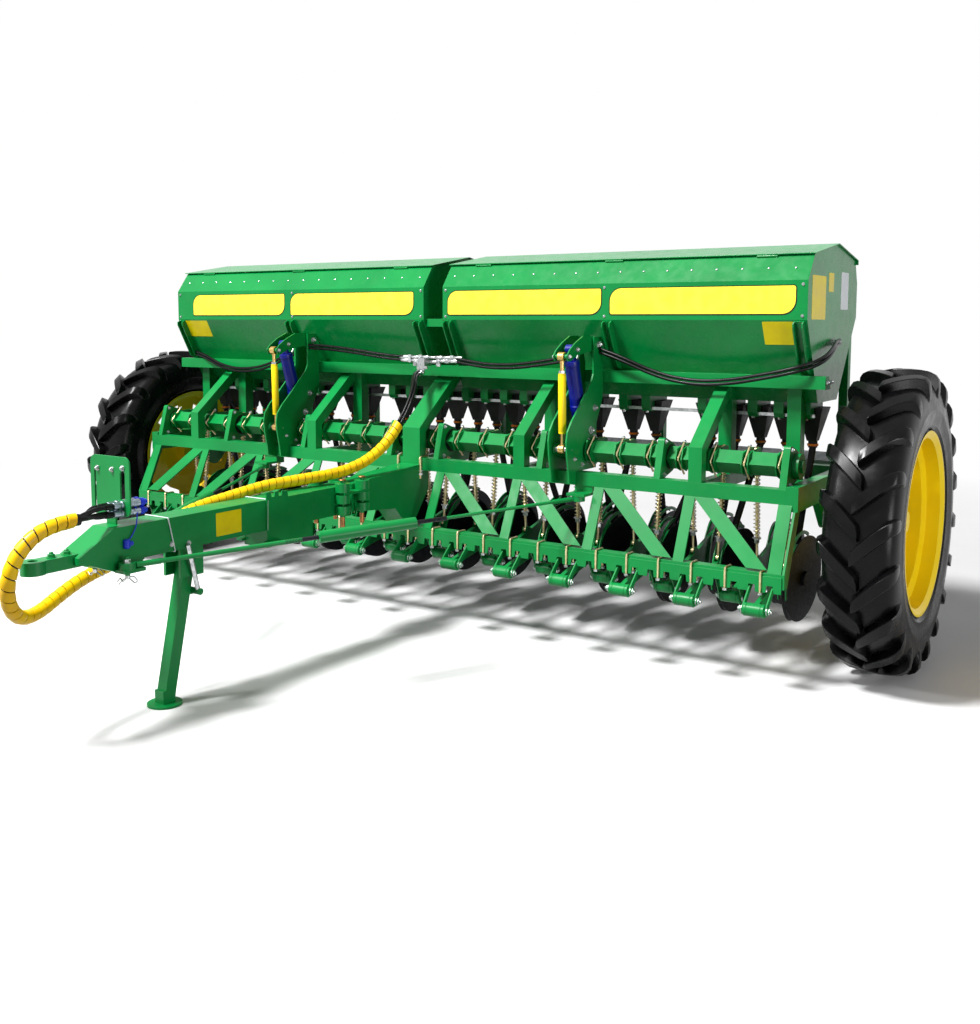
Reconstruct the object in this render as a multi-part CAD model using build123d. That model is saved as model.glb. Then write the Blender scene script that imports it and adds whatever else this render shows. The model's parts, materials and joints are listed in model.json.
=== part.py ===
from build123d import *
from math import atan2, cos, degrees, hypot, pi, radians, sin, sqrt, tan
import os

os.makedirs("parts", exist_ok=True)

# Trailed grain drill, in millimetres. X runs across the machine, -Y is the direction of travel
# and +Z is up. The model is drawn with Y = 0 at the wheel axle and moved once, on export, so that
# the origin is under the middle of the whole machine.

# Rows of openers
ROW_COUNT = 26
ROW_PITCH = 147
ROWS = [(i - (ROW_COUNT - 1) / 2) * ROW_PITCH for i in range(ROW_COUNT)]
REAR_ROWS = ROWS[0::2]
FRONT_ROWS = ROWS[1::2]
OUTER_ROW = ROWS[-1]

# Wheels and axle
TYRE_OD = 1285
TYRE_WIDTH = 300
LUG_HEIGHT = 38
LUG_COUNT = 20
LUG_THICKNESS = 40
LUG_SWEEP = 118
RIM_FLANGE_R = 388
RIM_SEAT_R = 362
RIM_WELL_R = 326
RIM_HALF_WIDTH = 134
RIM_WALL = 7
DISC_WALL = 9
DISC_WINDOWS = 6
HUB_R = 78
HUB_LENGTH = 130
SPINDLE_R = 30
AXLE_Z = TYRE_OD / 2
RUNNING_GAP = 0.05
SEAT_GAP = 0.3

# Frame
MAIN_BEAM = 60
MAIN_FRONT_Y = -455
MAIN_TOP_Z = 801
MAIN_HALF = OUTER_ROW + 54
SIDE_PLATE = 50
SIDE_TOP_Z = 815
SIDE_DEPTH = 100
WHEEL_GAP = 114
WHEEL_X = MAIN_HALF + SIDE_PLATE + WHEEL_GAP + TYRE_WIDTH / 2
LOWER_BEAM = 50
LOWER_FRONT_Y = -570
LOWER_TOP_Z = 480
LOWER_HALF = OUTER_ROW + 84
COMB_PLATE = 6
COMB_DROP = 42
NOTCH_HALF = 16
REAR_BEAM_Y = 400
REAR_BEAM = 60
MEMBER_X = [0, 612, 1501]
MEMBER_WIDTH = 38

# Web of flat bars between the two front beams
WEB_PLATE = 8
WEB_WIDTH = 48
WEB_SLANT_WIDTH = 88
WEB_POST_X = [180, 620, 1050, 1480]
WEB_FOOT_SHIFT = 42
END_POST_WIDTH = 56
END_POST_X = LOWER_HALF - END_POST_WIDTH / 2 - 4
CLAMP_R = 4.5
CLAMP_GAP = 0.5

# Supports under the hopper
ARM_WIDTH = 60
ARM_DEPTH = 50
CENTRE_ARM_WIDTH = 106
ARM_X = [-1570, -665, 628, 1500]
ARM_BEND_Z = 950
ARM_SLOPE = 39.4
LEG_Y = -140
LEG_WIDTH = 60
LEG_X = [612, 1508]
END_LEG_X = MAIN_HALF - LEG_WIDTH - 46
POST = 40
REAR_POST_X = [30, 950]

# Footboard behind the hopper
BOARD_FRONT_Y = 500
BOARD_REAR_Y = 850
BOARD_Z = 815
BOARD_HALF = MAIN_HALF - 50
BOARD_SLATS = 8
SLAT_HEIGHT = 25
SLAT_THICKNESS = 5
BOARD_BRACKET_X = [0, 620, 1240, 1800]

# Hopper section, as (Y, Z) of its outer folds
HOPPER_HALF = OUTER_ROW + 62
HOPPER_SPLIT = 60
HOPPER_WALL = 4
LID_FRONT = (-191, 1757)
BAND_TOP = (-270, 1648)
BAND_BOTTOM = (-270, 1483)
FLOOR_FRONT = (-88, 1131)
FLOOR_REAR = (200, 1131)
BACK_BOTTOM = (480, 1500)
BACK_TOP = (480, 1655)
LID_REAR = (440, 1757)
RIDGE = (134, 1819)
LID_WALL = 4
LID_GAP = 0.5
LID_HINGE = (-199, 1752)
LID_HINGE_R = 5
LID_HINGE_X = [260, 980, 1700]
LID_HINGE_LENGTH = 90
REAR_POST_X.append(MAIN_HALF - POST / 2)
STRAP_X = [HOPPER_SPLIT + 34, 985, HOPPER_HALF - 34]
STRAP_HALF = 22
STRAP_WALL = 6
HOPPER_BEAM_Y = -200
HOPPER_BEAM_DEPTH = 100
HOPPER_BEAM_TOP_Z = 1250
HOPPER_BEAM_HEIGHT = 55
HOPPER_BEAM_HALF = HOPPER_HALF + 62

# Feed units in groups of one pitch each half, with their funnels and seed tubes
UNIT_PITCH = 118
UNIT_GROUPS = [(66, 4), (670, 2), (976, 2), (1373, 5)]
UNIT_X = [start + i * UNIT_PITCH for start, count in UNIT_GROUPS for i in range(count)]
UNIT_HALF = 22
UNIT_FRONT_Y = -78
UNIT_BOTTOM_Z = 1058
METER_Y = -52
METER_Z = 1071
METER_BAR = 14
FUNNEL_Y = 45
FUNNEL_TOP_Z = 1104
FUNNEL_NECK_Z = 955
FUNNEL_HALF_X = 56
FUNNEL_HALF_Y = 64
NECK_R = 21
NECK_END_Z = 925
SEED_TUBE_R = 16

# Openers, one table row per gang: pivot, spring pin and disc centre
DISC_R = 190
DISC_PLATE = 4
DISC_TOE = 5.5
DISC_CAMBER = 3.5
DISC_HALF_GAP = 29
DISC_HUB_R = 34
GANG_TABLE = [
    # name, rows, pivot_y, pivot_z, pin_y, pin_z, disc_y, disc_z
    ("front", FRONT_ROWS, -635, 342, -280, 452, -100, 367),
    ("rear", REAR_ROWS, -500, 350, -200, 452, 150, 367),
]
SLEEVE_R = 23
FEW_SIDES = 8
SLEEVE_HALF = 43.7
EAR_PLATE = 6
EAR_INNER = 44
EAR_HEAD = 17
ARM_HALF = 10
CASTING_HALF = 9
INLET_Z = 520
ROD_R = 7
SPRING_R = 17
SPRING_TOP_Z = 868
SPRING_BOTTOM_Z = 545

# Rockshaft, its forks and its bearings
SHAFT_Y = -335
SHAFT_Z = 885
SHAFT_SIZE = 70
TIP_Y = -235
TIP_Z = 930
FORK_PLATE = 5
FORK_GAP = 22
COLLAR_R = 54
BUSH_R = 56
BEARING_R = 66
BEARING_WIDTH = 30
BEARING_BOLT = (-392, 958)
END_BEARING_X = OUTER_ROW + FORK_GAP / 2 + FORK_PLATE + 6 + BEARING_WIDTH / 2
BEARING_X = [ROW_PITCH, 5 * ROW_PITCH, 9 * ROW_PITCH, END_BEARING_X]
SHAFT_HALF = END_BEARING_X + BEARING_WIDTH / 2
FLANGE_R = 53
FLANGE_LENGTH = 26

# Lift towers, in the middle between two rows
TOWER_X = 6 * ROW_PITCH
TOWER_HALF = 50
TOWER_PLATE = 8
TOWER_TOP_Z = 1406
TOWER_FRONT = [
    (-296, TOWER_TOP_Z), (-296, 1236), (-312, 1206), (-420, 1100), (-498, 1030), (-534, 986),
    (-544, 940), (-537, 880), (-520, 800), (-514, MAIN_TOP_Z - 45),
]
TOWER_REAR = [(-262, 1010), (-205, 1120), (-205, 1205), (-206, 1285), (-228, 1340), (-232, TOWER_TOP_Z)]
ROCKER_OUTER = TOWER_HALF - TOWER_PLATE - 5
ROCKER_PLATE = 6
ROCKER_PIVOT = (-250, 1370)
ROCKER_PIN = (-504, 1319)
ROCKER_EDGE = [
    (-268, 1400), (-300, 1410), (-376, 1410), (-444, 1382), (-500, 1348), (-524, 1322),
    (-512, 1300), (-492, 1298), (-440, 1322), (-300, 1340), (-252, 1346), (-228, 1362), (-232, 1390),
]
CYLINDER_TOP = (-431, 1350)
CYLINDER_FOOT = (-322, 979)
TOWER_SPACER = (-285, 1080)
CRANK_PIN = (-494, 904)
TURNBUCKLE_R = 17
BARREL_R = 33
PISTON_ROD_R = 14
PIN_R = 11

# Drawbar
BAR_HALF = 60
BAR_TOP_Z = 736
BAR_BOTTOM_Z = 608
HINGE_Y = -1000
HINGE_PINS = (-1065, -932)
HINGE_BOSS_R = 34
HINGE_PIN_R = 10
BOSS_Z = [(712, 752), (662, 700), (612, 650)]
NOSE_TIP_Y = -2590
NOSE_Z = 640
HITCH_HOLE_R = 16.5
HITCH_R = 42
HITCH_Y = NOSE_TIP_Y + HITCH_R
HITCH_THICKNESS = 46
TONGUE_HALF = 30
TONGUE_END_Y = -2325
CHEEK_Y = (-1521, -1245)
CHEEK_WALL = 6
CHEEK_BOTTOM_Z = 537

# Stand
STAND_X = -12
STAND_PIVOT = (-1885, 545)
STAND_FOOT_Y = -2004
STAND_TUBE = 50
STAND_PIN_R = 10
STAND_FOOT_R = 66
STAND_FOOT_PLATE = 9
STRUT_TOP = (72, -1943, 624)
STRUT_FOOT = (42, -1872, 424)
STRUT_R = 9

# Rack on the nose that holds the hose couplings
RACK_Y = -2215
RACK_X = (-122, 94)
RACK_BOTTOM_Z = 770
RACK_TOP_Z = 986
RACK_WALL = 6
COUPLER_SPOTS = [(24, 784), (24, 814), (54, 784), (54, 814)]
COUPLER_R = 12
COUPLER_Y = (-2262, -2150)

# Side stays
STAY_FRONT = (92, -2238, 600)
STAY_REAR = (970, -500, 690)
STAY_ROD_R = 9
STAY_THREAD_R = 7
STAY_TUBE_R = 24
STAY_EYE_R = 30
STAY_EYE = 24
STAY_BOLT_R = 9

REAR_REACH_Y = BOARD_REAR_Y
FRAME_SHIFT = -(NOSE_TIP_Y + REAR_REACH_Y) / 2


NODES = {}


def save(name, *shapes):
    """File the solids of one named sub-part."""
    solids = []
    for shape in shapes:
        solids += list(shape) if isinstance(shape, (list, ShapeList)) else [shape]
    NODES.setdefault(name, []).extend(s for shape in solids for s in shape.solids())


def fuse(*shapes):
    first, *rest = shapes
    return first + list(rest) if rest else first


def block(x, y, z):
    """A box given by its (low, high) limits along each axis."""
    size = (x[1] - x[0], y[1] - y[0], z[1] - z[0])
    return Pos(x[0], y[0], z[0]) * Box(*size, align=(Align.MIN, Align.MIN, Align.MIN))


def plate(points, x0, x1):
    """A side profile of (Y, Z) points, extruded across X."""
    face = make_face(Polyline(*points, close=True))
    return extrude(Plane.YZ.offset(x0) * face, amount=x1 - x0)


def profile(sketch, x0, x1):
    """A side sketch drawn in (Y, Z), extruded across X."""
    return extrude(Plane.YZ.offset(x0) * sketch, amount=x1 - x0)


def disc_at(point, radius):
    return Pos(*point) * Circle(radius)


def link(a, r_a, b, r_b):
    """The outline of a flat link with round ends at two (Y, Z) points."""
    return make_hull(disc_at(a, r_a).edges() + disc_at(b, r_b).edges())


def bar_x(point, radius, x0, x1, sides=0):
    """A bar along X through a (Y, Z) point, round or with a few flats."""
    section = RegularPolygon(radius, sides) if sides else Circle(radius)
    return extrude(Plane.YZ.offset(x0) * (Pos(*point) * section), amount=x1 - x0)


def rod(a, b, radius, sides=0):
    """A bar between two points in space, round or with a few flats."""
    start, end = Vector(*a), Vector(*b)
    axis = end - start
    section = RegularPolygon(radius, sides) if sides else Circle(radius)
    return extrude(Plane(origin=start, z_dir=axis) * section, amount=axis.length)


def both(shape):
    """A shape and its mirror image across the machine's middle."""
    return [shape, mirror(shape, about=Plane.YZ)]



# Wheels
def tyre():
    """A carcass ring with two staggered rows of slanting lugs, its V tips forward."""
    top, half, bead = TYRE_OD / 2, TYRE_WIDTH / 2, RIM_SEAT_R + SEAT_GAP
    carcass = top - LUG_HEIGHT
    section = [
        (-118, bead), (-half + 4, bead + 135), (-112, carcass), (112, carcass),
        (half - 4, bead + 135), (118, bead),
    ]
    ring = revolve(make_face(Polyline(*section, close=True)), Axis.X)
    step = 360 / LUG_COUNT
    crown = [(-14, carcass - 18), (-14, top), (half - 40, top - 6), (half, top - 34), (half, bead + 165)]
    lugs = []
    for side, start in ((1, 0), (-1, step / 2)):
        foot = [
            (-12 * side, 0), (-12 * side, LUG_THICKNESS), (half * side, LUG_SWEEP + LUG_THICKNESS),
            (half * side, LUG_SWEEP),
        ]
        up = extrude(Plane.XY.offset(bead + 120) * make_face(Polyline(*foot, close=True)), 220)
        face = make_face(Polyline(*[(x * side, z) for x, z in crown], close=True))
        lug = up & extrude(Plane.XZ.offset(-2 * half) * face, 4 * half)
        lugs += [Rot(start + i * step - 12, 0, 0) * lug for i in range(LUG_COUNT)]
    return fuse(ring, *lugs)


def rim():
    seat, well, flange, half, wall = RIM_SEAT_R, RIM_WELL_R, RIM_FLANGE_R, RIM_HALF_WIDTH, RIM_WALL
    section = [
        (-half, flange), (-118, seat), (-60, seat), (-46, well), (46, well), (60, seat), (118, seat),
        (half, flange), (half, flange - 10), (120, seat - wall), (64, seat - wall), (50, well - wall),
        (-50, well - wall), (-64, seat - wall), (-120, seat - wall), (-half, flange - 10),
    ]
    hoop = revolve(make_face(Polyline(*section, close=True)), Axis.X)
    inner = well - wall
    dish = [
        (-20, HUB_R - 4), (10, 160), (-38, inner), (-38 - DISC_WALL, inner), (-DISC_WALL, 160),
        (-20 - DISC_WALL, HUB_R - 4),
    ]
    disc = revolve(make_face(Polyline(*dish, close=True)), Axis.X)
    far, near = inner - 14, inner - 62
    arch = [(far * cos(radians(a)), far * sin(radians(a))) for a in (-19, -6, 6, 19)]
    sill = [(near * cos(radians(a)), near * sin(radians(a))) for a in (17, 0, -17)]
    window = extrude(Plane.YZ.offset(-70) * make_face(Polyline(*arch, *sill, close=True)), 120)
    windows = [Rot(i * 360 / DISC_WINDOWS, 0, 0) * window for i in range(DISC_WINDOWS)]
    hub_in, hub_out = -HUB_LENGTH + 25, 25
    hub = bar_x((0, 0), HUB_R, hub_in, hub_out) + bar_x((0, 0), HUB_R * 0.55, hub_out, hub_out + 34)
    bore = bar_x((0, 0), SPINDLE_R + RUNNING_GAP, hub_in, hub_in + 110)
    return fuse(hoop, disc - windows, hub) - bore


def wheels():
    for name, side in (("right", 1), ("left", -1)):
        place = Pos(side * WHEEL_X, 0, AXLE_Z)
        save(f"tyre_{name}", place * tyre())
        wheel = rim() if side > 0 else mirror(rim(), about=Plane.YZ)
        save(f"rim_{name}", place * wheel)


# Chassis
def lower_comb():
    """The folded strip under the lower beam, with a notch each side of every opener."""
    low, depth = LOWER_TOP_Z - LOWER_BEAM - COMB_DROP + 14, 29
    top = LOWER_TOP_Z - 12
    points = [(-LOWER_HALF, top), (-LOWER_HALF, low)]
    for x in ROWS:
        for centre in (x - ROW_PITCH / 4, x + ROW_PITCH / 4):
            points += [(centre - NOTCH_HALF, low), (centre - NOTCH_HALF + 3, low + depth),
                       (centre + NOTCH_HALF - 3, low + depth), (centre + NOTCH_HALF, low)]
    points += [(LOWER_HALF, low), (LOWER_HALF, top)]
    face = make_face(Polyline(*points, close=True))
    return extrude(Plane.XZ.offset(-LOWER_FRONT_Y) * face, COMB_PLATE)


def beams():
    beam_low = MAIN_TOP_Z - MAIN_BEAM
    main_rear = MAIN_FRONT_Y + MAIN_BEAM
    save("main_beam", block((-MAIN_HALF, MAIN_HALF), (MAIN_FRONT_Y, main_rear), (beam_low, MAIN_TOP_Z)))
    lower = block((-LOWER_HALF, LOWER_HALF), (LOWER_FRONT_Y, LOWER_FRONT_Y + LOWER_BEAM),
                  (LOWER_TOP_Z - LOWER_BEAM, LOWER_TOP_Z))
    save("lower_beam", lower + lower_comb())
    low_z = SIDE_TOP_Z - SIDE_DEPTH
    side = block((MAIN_HALF, MAIN_HALF + SIDE_PLATE), (MAIN_FRONT_Y, REAR_BEAM_Y + REAR_BEAM),
                 (low_z, SIDE_TOP_Z))
    hanger_x = (MAIN_HALF + 14, MAIN_HALF + SIDE_PLATE - 6)
    hanger = profile(make_hull(Polyline((-150, low_z), (150, low_z)).edges()
                               + disc_at((0, AXLE_Z), 62).edges()), *hanger_x)
    spindle = bar_x((0, AXLE_Z), SPINDLE_R, hanger_x[1], WHEEL_X)
    collar = bar_x((0, AXLE_Z), 46, hanger_x[1], WHEEL_X - HUB_LENGTH - 10)
    drop = LOWER_TOP_Z - 60
    down = plate([(MAIN_FRONT_Y, low_z), (LOWER_FRONT_Y, LOWER_TOP_Z), (LOWER_FRONT_Y, drop),
                  (LOWER_FRONT_Y + 40, drop), (main_rear, low_z)], LOWER_HALF, LOWER_HALF + 10)
    save("side_frames", both(fuse(side, hanger, spindle, collar)), both(down))
    rear = block((-MAIN_HALF, MAIN_HALF), (REAR_BEAM_Y, REAR_BEAM_Y + REAR_BEAM),
                 (MAIN_TOP_Z - REAR_BEAM, MAIN_TOP_Z))
    save("rear_beam", rear)
    for x in MEMBER_X:
        member = block((x - MEMBER_WIDTH / 2, x + MEMBER_WIDTH / 2), (main_rear, REAR_BEAM_Y),
                       (beam_low, MAIN_TOP_Z))
        save("cross_members", both(member) if x else member)


def truss_web():
    """Flat bars in the leaning plane between the fronts of the two beams."""
    low = Vector(0, LOWER_FRONT_Y, LOWER_TOP_Z)
    high = Vector(0, MAIN_FRONT_Y, MAIN_TOP_Z - MAIN_BEAM)
    rise = (high - low).length
    up = (high - low).normalized()
    plane = Plane(origin=low, x_dir=(1, 0, 0), z_dir=Vector(1, 0, 0).cross(up))

    def strip(x_low, x_high, width, foot_z):
        half = width / 2
        points = [(x_low - half, -20), (x_low + half, -20), (x_high + half, rise + 20),
                  (x_high - half, rise + 20)]
        bar = extrude(plane * make_face(Polyline(*points, close=True)), -WEB_PLATE)
        return bar & block((-LOWER_HALF, LOWER_HALF), (-1000, 0), (foot_z, high.Z))

    bars = [strip(x, x, WEB_WIDTH, low.Z) for x in WEB_POST_X]
    bars.append(strip(END_POST_X, END_POST_X, END_POST_WIDTH, low.Z))
    over_clamps = low.Z + 2 * CLAMP_R + 2
    for x_high, x_low in zip(WEB_POST_X, WEB_POST_X[1:] + [END_POST_X]):
        bars.append(strip(x_low - WEB_FOOT_SHIFT, x_high + WEB_FOOT_SHIFT, WEB_SLANT_WIDTH, over_clamps))
    frame_end = block((MAIN_HALF, LOWER_HALF), (MAIN_FRONT_Y, 0), (SIDE_TOP_Z - SIDE_DEPTH, SIDE_TOP_Z))
    save("truss_web", both(fuse(*bars) - frame_end))


def hopper_supports():
    """Bent front arms, upright legs behind them and the posts of the rear beam."""
    front, rear = MAIN_FRONT_Y, MAIN_FRONT_Y + ARM_DEPTH
    top = HOPPER_BEAM_TOP_Z - HOPPER_BEAM_HEIGHT
    run = (top - ARM_BEND_Z) / tan(radians(ARM_SLOPE))
    shift = ARM_DEPTH / sin(radians(ARM_SLOPE))
    bend_drop = ARM_DEPTH * tan(radians((90 - ARM_SLOPE) / 2))
    arm = [
        (front, MAIN_TOP_Z), (front, ARM_BEND_Z), (front + run, top), (front + run + shift, top),
        (rear, ARM_BEND_Z - bend_drop), (rear, MAIN_TOP_Z),
    ]
    half = ARM_WIDTH / 2
    hopper_space = plate(hopper_outline(0), HOPPER_SPLIT, HOPPER_HALF)
    spaces = both(hopper_space)
    for x in ARM_X:
        save("hopper_supports", plate(arm, x - half, x + half) - spaces)
    save("hopper_supports", plate(arm, -CENTRE_ARM_WIDTH / 2, CENTRE_ARM_WIDTH / 2))
    leg_y = (LEG_Y, LEG_Y + LEG_WIDTH)
    for x in LEG_X:
        leg = block((x - half, x + half), leg_y, (MAIN_TOP_Z, top))
        save("hopper_supports", both(leg - hopper_space))
    beam_low = MAIN_TOP_Z - MAIN_BEAM
    end_leg = block((END_LEG_X, END_LEG_X + LEG_WIDTH), leg_y, (beam_low, top))
    foot = block((END_LEG_X + LEG_WIDTH, MAIN_HALF), leg_y, (beam_low, MAIN_TOP_Z))
    save("hopper_supports", both(end_leg + foot - hopper_space))
    post_y = REAR_BEAM_Y + 5
    slope = (BACK_BOTTOM[1] - FLOOR_REAR[1]) / (BACK_BOTTOM[0] - FLOOR_REAR[0])
    z_front, z_rear = [BACK_BOTTOM[1] + (y - BACK_BOTTOM[0]) * slope for y in (post_y, post_y + POST)]
    outline = [(post_y, MAIN_TOP_Z), (post_y, z_front), (post_y + POST, z_rear),
               (post_y + POST, MAIN_TOP_Z)]
    for x in REAR_POST_X:
        save("hopper_supports", both(plate(outline, x - POST / 2, x + POST / 2)))
    beam_y = (HOPPER_BEAM_Y, HOPPER_BEAM_Y + HOPPER_BEAM_DEPTH)
    beam = block((-HOPPER_BEAM_HALF, HOPPER_BEAM_HALF), beam_y, (top, HOPPER_BEAM_TOP_Z))
    save("hopper_supports", beam - plate(hopper_outline(0), -HOPPER_BEAM_HALF, HOPPER_BEAM_HALF))


def footboard():
    pitch = (BOARD_REAR_Y - BOARD_FRONT_Y - SLAT_THICKNESS) / (BOARD_SLATS - 1)
    low = BOARD_Z - SLAT_HEIGHT
    slats = [block((-BOARD_HALF, BOARD_HALF), (y, y + SLAT_THICKNESS), (low, BOARD_Z))
             for y in [BOARD_FRONT_Y + i * pitch for i in range(BOARD_SLATS)]]
    ties = [block((x - 15, x + 15), (BOARD_FRONT_Y, BOARD_REAR_Y), (low, BOARD_Z - 5))
            for x in [share * (BOARD_HALF - 15) for share in (-1, -0.5, 0, 0.5, 1)]]
    save("footboard", fuse(*slats, *ties))
    rear = REAR_BEAM_Y + REAR_BEAM
    tip = BOARD_REAR_Y - 30
    bracket = plate([(rear, MAIN_TOP_Z - 55), (rear, MAIN_TOP_Z), (rear + 36, low), (tip, low),
                     (tip, low - 20)], -20, 20)
    for x in BOARD_BRACKET_X:
        save("rear_beam", [Pos(s * x, 0, 0) * bracket for s in ((1, -1) if x else (1,))])


# Hopper
def hopper_outline(inset):
    """The closed hopper section, drawn inwards by an inset."""
    outer = [LID_FRONT, BAND_TOP, BAND_BOTTOM, FLOOR_FRONT, FLOOR_REAR, BACK_BOTTOM, BACK_TOP, LID_REAR]
    if not inset:
        return outer
    inner = []
    count = len(outer)
    for i, point in enumerate(outer):
        before, after = outer[i - 1], outer[(i + 1) % count]
        a = (point[0] - before[0], point[1] - before[1])
        b = (after[0] - point[0], after[1] - point[1])
        n_a = (-a[1] / hypot(*a), a[0] / hypot(*a))
        n_b = (-b[1] / hypot(*b), b[0] / hypot(*b))
        scale = inset / (1 + n_a[0] * n_b[0] + n_a[1] * n_b[1])
        inner.append((point[0] + (n_a[0] + n_b[0]) * scale, point[1] + (n_a[1] + n_b[1]) * scale))
    return inner


def hopper():
    outer, inner = hopper_outline(0), hopper_outline(HOPPER_WALL)
    x = (HOPPER_SPLIT, HOPPER_HALF)
    sheet_x = (x[0] + HOPPER_WALL, x[1] - HOPPER_WALL)
    knuckles = [bar_x(LID_HINGE, LID_HINGE_R, x, x + LID_HINGE_LENGTH)
                for x in [centre - LID_HINGE_LENGTH / 2 for centre in LID_HINGE_X]]
    save("hopper_fronts", both(fuse(plate(outer[0:4] + inner[3::-1], *sheet_x), *knuckles)))
    save("hopper_rears", both(plate([outer[3], outer[4], inner[4], inner[3]], *sheet_x)))
    save("hopper_rears", both(plate(outer[4:8] + inner[7:3:-1], *sheet_x)))
    for x_end in (x[0], x[1] - HOPPER_WALL):
        end = plate([*outer, (RIDGE[0], RIDGE[1] - LID_WALL - LID_GAP)], x_end, x_end + HOPPER_WALL)
        save("hopper_ends", both(end))
    straps()


def straps():
    """Stiffening channels down the hopper's lower front slope, and the block between the halves."""
    (y0, z0), (y1, z1) = BAND_BOTTOM, FLOOR_FRONT
    run = hypot(y1 - y0, z1 - z0)
    along = ((y1 - y0) / run, (z1 - z0) / run)
    out = (along[1], -along[0])

    def spot(distance, height):
        return (y0 + along[0] * distance + out[0] * height, z0 + along[1] * distance + out[1] * height)

    reach = (z0 - HOPPER_BEAM_TOP_Z) / (z0 - z1) * run
    base = [spot(4, 0.02), spot(4, 26), spot(20, 34), spot(reach - 40, 34), spot(reach - 12, 14),
            spot(reach - 12, 0.02)]
    for x in STRAP_X:
        walls = [(x - STRAP_HALF, x - STRAP_HALF + STRAP_WALL), (x + STRAP_HALF - STRAP_WALL, x + STRAP_HALF)]
        web = [spot(4, 0.02), spot(4, STRAP_WALL), spot(reach - 12, STRAP_WALL), spot(reach - 12, 0.02)]
        channel = fuse(plate(web, x - STRAP_HALF, x + STRAP_HALF), *[plate(base, a, b) for a, b in walls])
        save("hopper_straps", both(channel))
    spacer = block((-HOPPER_SPLIT, HOPPER_SPLIT), (BAND_BOTTOM[0] + 20, BAND_BOTTOM[0] + 60),
                   (BAND_BOTTOM[1] - 35, BAND_BOTTOM[1] + 5))
    save("hopper_straps", spacer)


def lids():
    """Two gable lids of folded sheet, hinged along their front edges."""
    lift = LID_WALL + LID_GAP
    front = (LID_FRONT[0] - 12, LID_FRONT[1] + lift)
    back = (LID_REAR[0] + 15, LID_REAR[1] + lift)
    under = [(p[0], p[1] - LID_WALL) for p in (front, RIDGE, back)]
    x0, x1 = HOPPER_SPLIT - 8, HOPPER_HALF + 10
    lid = plate([front, RIDGE, back] + under[::-1], x0, x1)
    y, z = under[-1]
    right = lid + plate([(y - LID_WALL, z), (y, z), (y, z - 18), (y - LID_WALL, z - 18)], x0, x1)
    save("lid_right", right)
    save("lid_left", mirror(right, about=Plane.YZ))


def metering():
    """Feed units on one square shaft, each over its own funnel."""
    back_y = FUNNEL_Y + FUNNEL_HALF_Y - 6
    unit = [(UNIT_FRONT_Y, FLOOR_FRONT[1]), (UNIT_FRONT_Y, UNIT_BOTTOM_Z + 20), (UNIT_FRONT_Y + 14, UNIT_BOTTOM_Z),
            (METER_Y + 24, UNIT_BOTTOM_Z), (METER_Y + 24, FUNNEL_TOP_Z), (back_y, FUNNEL_TOP_Z),
            (back_y, FLOOR_FRONT[1])]
    funnel_place = Pos(0, FUNNEL_Y, 0)
    collar = RegularPolygon(NECK_R, FEW_SIDES)
    neck = extrude(Plane.XY.offset(NECK_END_Z) * collar, FUNNEL_NECK_Z - NECK_END_Z)
    throat = Plane.XY.offset(FUNNEL_NECK_Z) * Rectangle(2 * NECK_R, 2 * NECK_R)
    mouth = Plane.XY.offset(FUNNEL_TOP_Z) * Rectangle(2 * FUNNEL_HALF_X, 2 * FUNNEL_HALF_Y)
    funnel = funnel_place * (loft([throat.face(), mouth.face()]) + neck)
    bar, end = METER_BAR / 2, UNIT_X[-1] + UNIT_HALF + 12
    shaft = block((-end, end), (METER_Y - bar, METER_Y + bar), (METER_Z - bar, METER_Z + bar))
    save("feed_shaft", shaft)
    for x in [side * x for side in (-1, 1) for x in UNIT_X]:
        save("feed_units", plate(unit, x - UNIT_HALF, x + UNIT_HALF) - shaft)
        save("seed_funnels", Pos(x, 0, 0) * funnel)


# Openers
def opener(pivot, pin, disc):
    """One opener: sleeve, arm, spring lugs and the casting that carries its discs."""
    sleeve = bar_x(pivot, SLEEVE_R, -SLEEVE_HALF, SLEEVE_HALF, FEW_SIDES)
    knee = (pin[0] + 30, pin[1] - 28)
    arm = plate([(pivot[0], pivot[1] - 17), (knee[0], knee[1] - 27), (knee[0] + 26, knee[1] - 10),
                 (knee[0] + 20, knee[1] + 20), (pin[0] + 15, pin[1] + 14), (pin[0] - 15, pin[1] + 14),
                 (pin[0] - 20, pin[1] - 15), (pivot[0], pivot[1] + 17)], -ARM_HALF, ARM_HALF)
    casting = plate([
        (knee[0] - 10, knee[1] - 24), (knee[0] - 10, knee[1] + 22), (disc[0] - 55, INLET_Z),
        (disc[0] + 25, INLET_Z), (disc[0] + 48, disc[1] + 70), (disc[0] + 34, disc[1] - 40),
        (disc[0] - 4, disc[1] - 96), (disc[0] - 40, disc[1] - 30),
    ], -CASTING_HALF, CASTING_HALF)
    slot = block((-ROD_R - 1, ROD_R + 1), (pin[0] - 24, pin[0] + 17), (pin[1] - 16, pin[1] + 40))
    return fuse(sleeve, arm - slot, casting)


def disc_pair(disc):
    """Two flat discs that come closest at their leading lower edges."""
    blades = []
    for side in (1, -1):
        blade = Cylinder(DISC_R, DISC_PLATE, rotation=(0, 90, 0))
        hub = bar_x((0, 0), DISC_HUB_R, min(0, side * 15), max(0, side * 15), FEW_SIDES)
        tilt = Rot(0, side * DISC_CAMBER, -side * DISC_TOE)
        blades.append(Pos(side * DISC_HALF_GAP, *disc) * tilt * (blade + hub))
    return blades


def row_units():
    """The feed unit that serves each row, counted out from the middle."""
    right = dict(zip(ROWS[ROW_COUNT // 2:], UNIT_X))
    return {x: right[x] if x > 0 else -right[-x] for x in ROWS}


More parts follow.
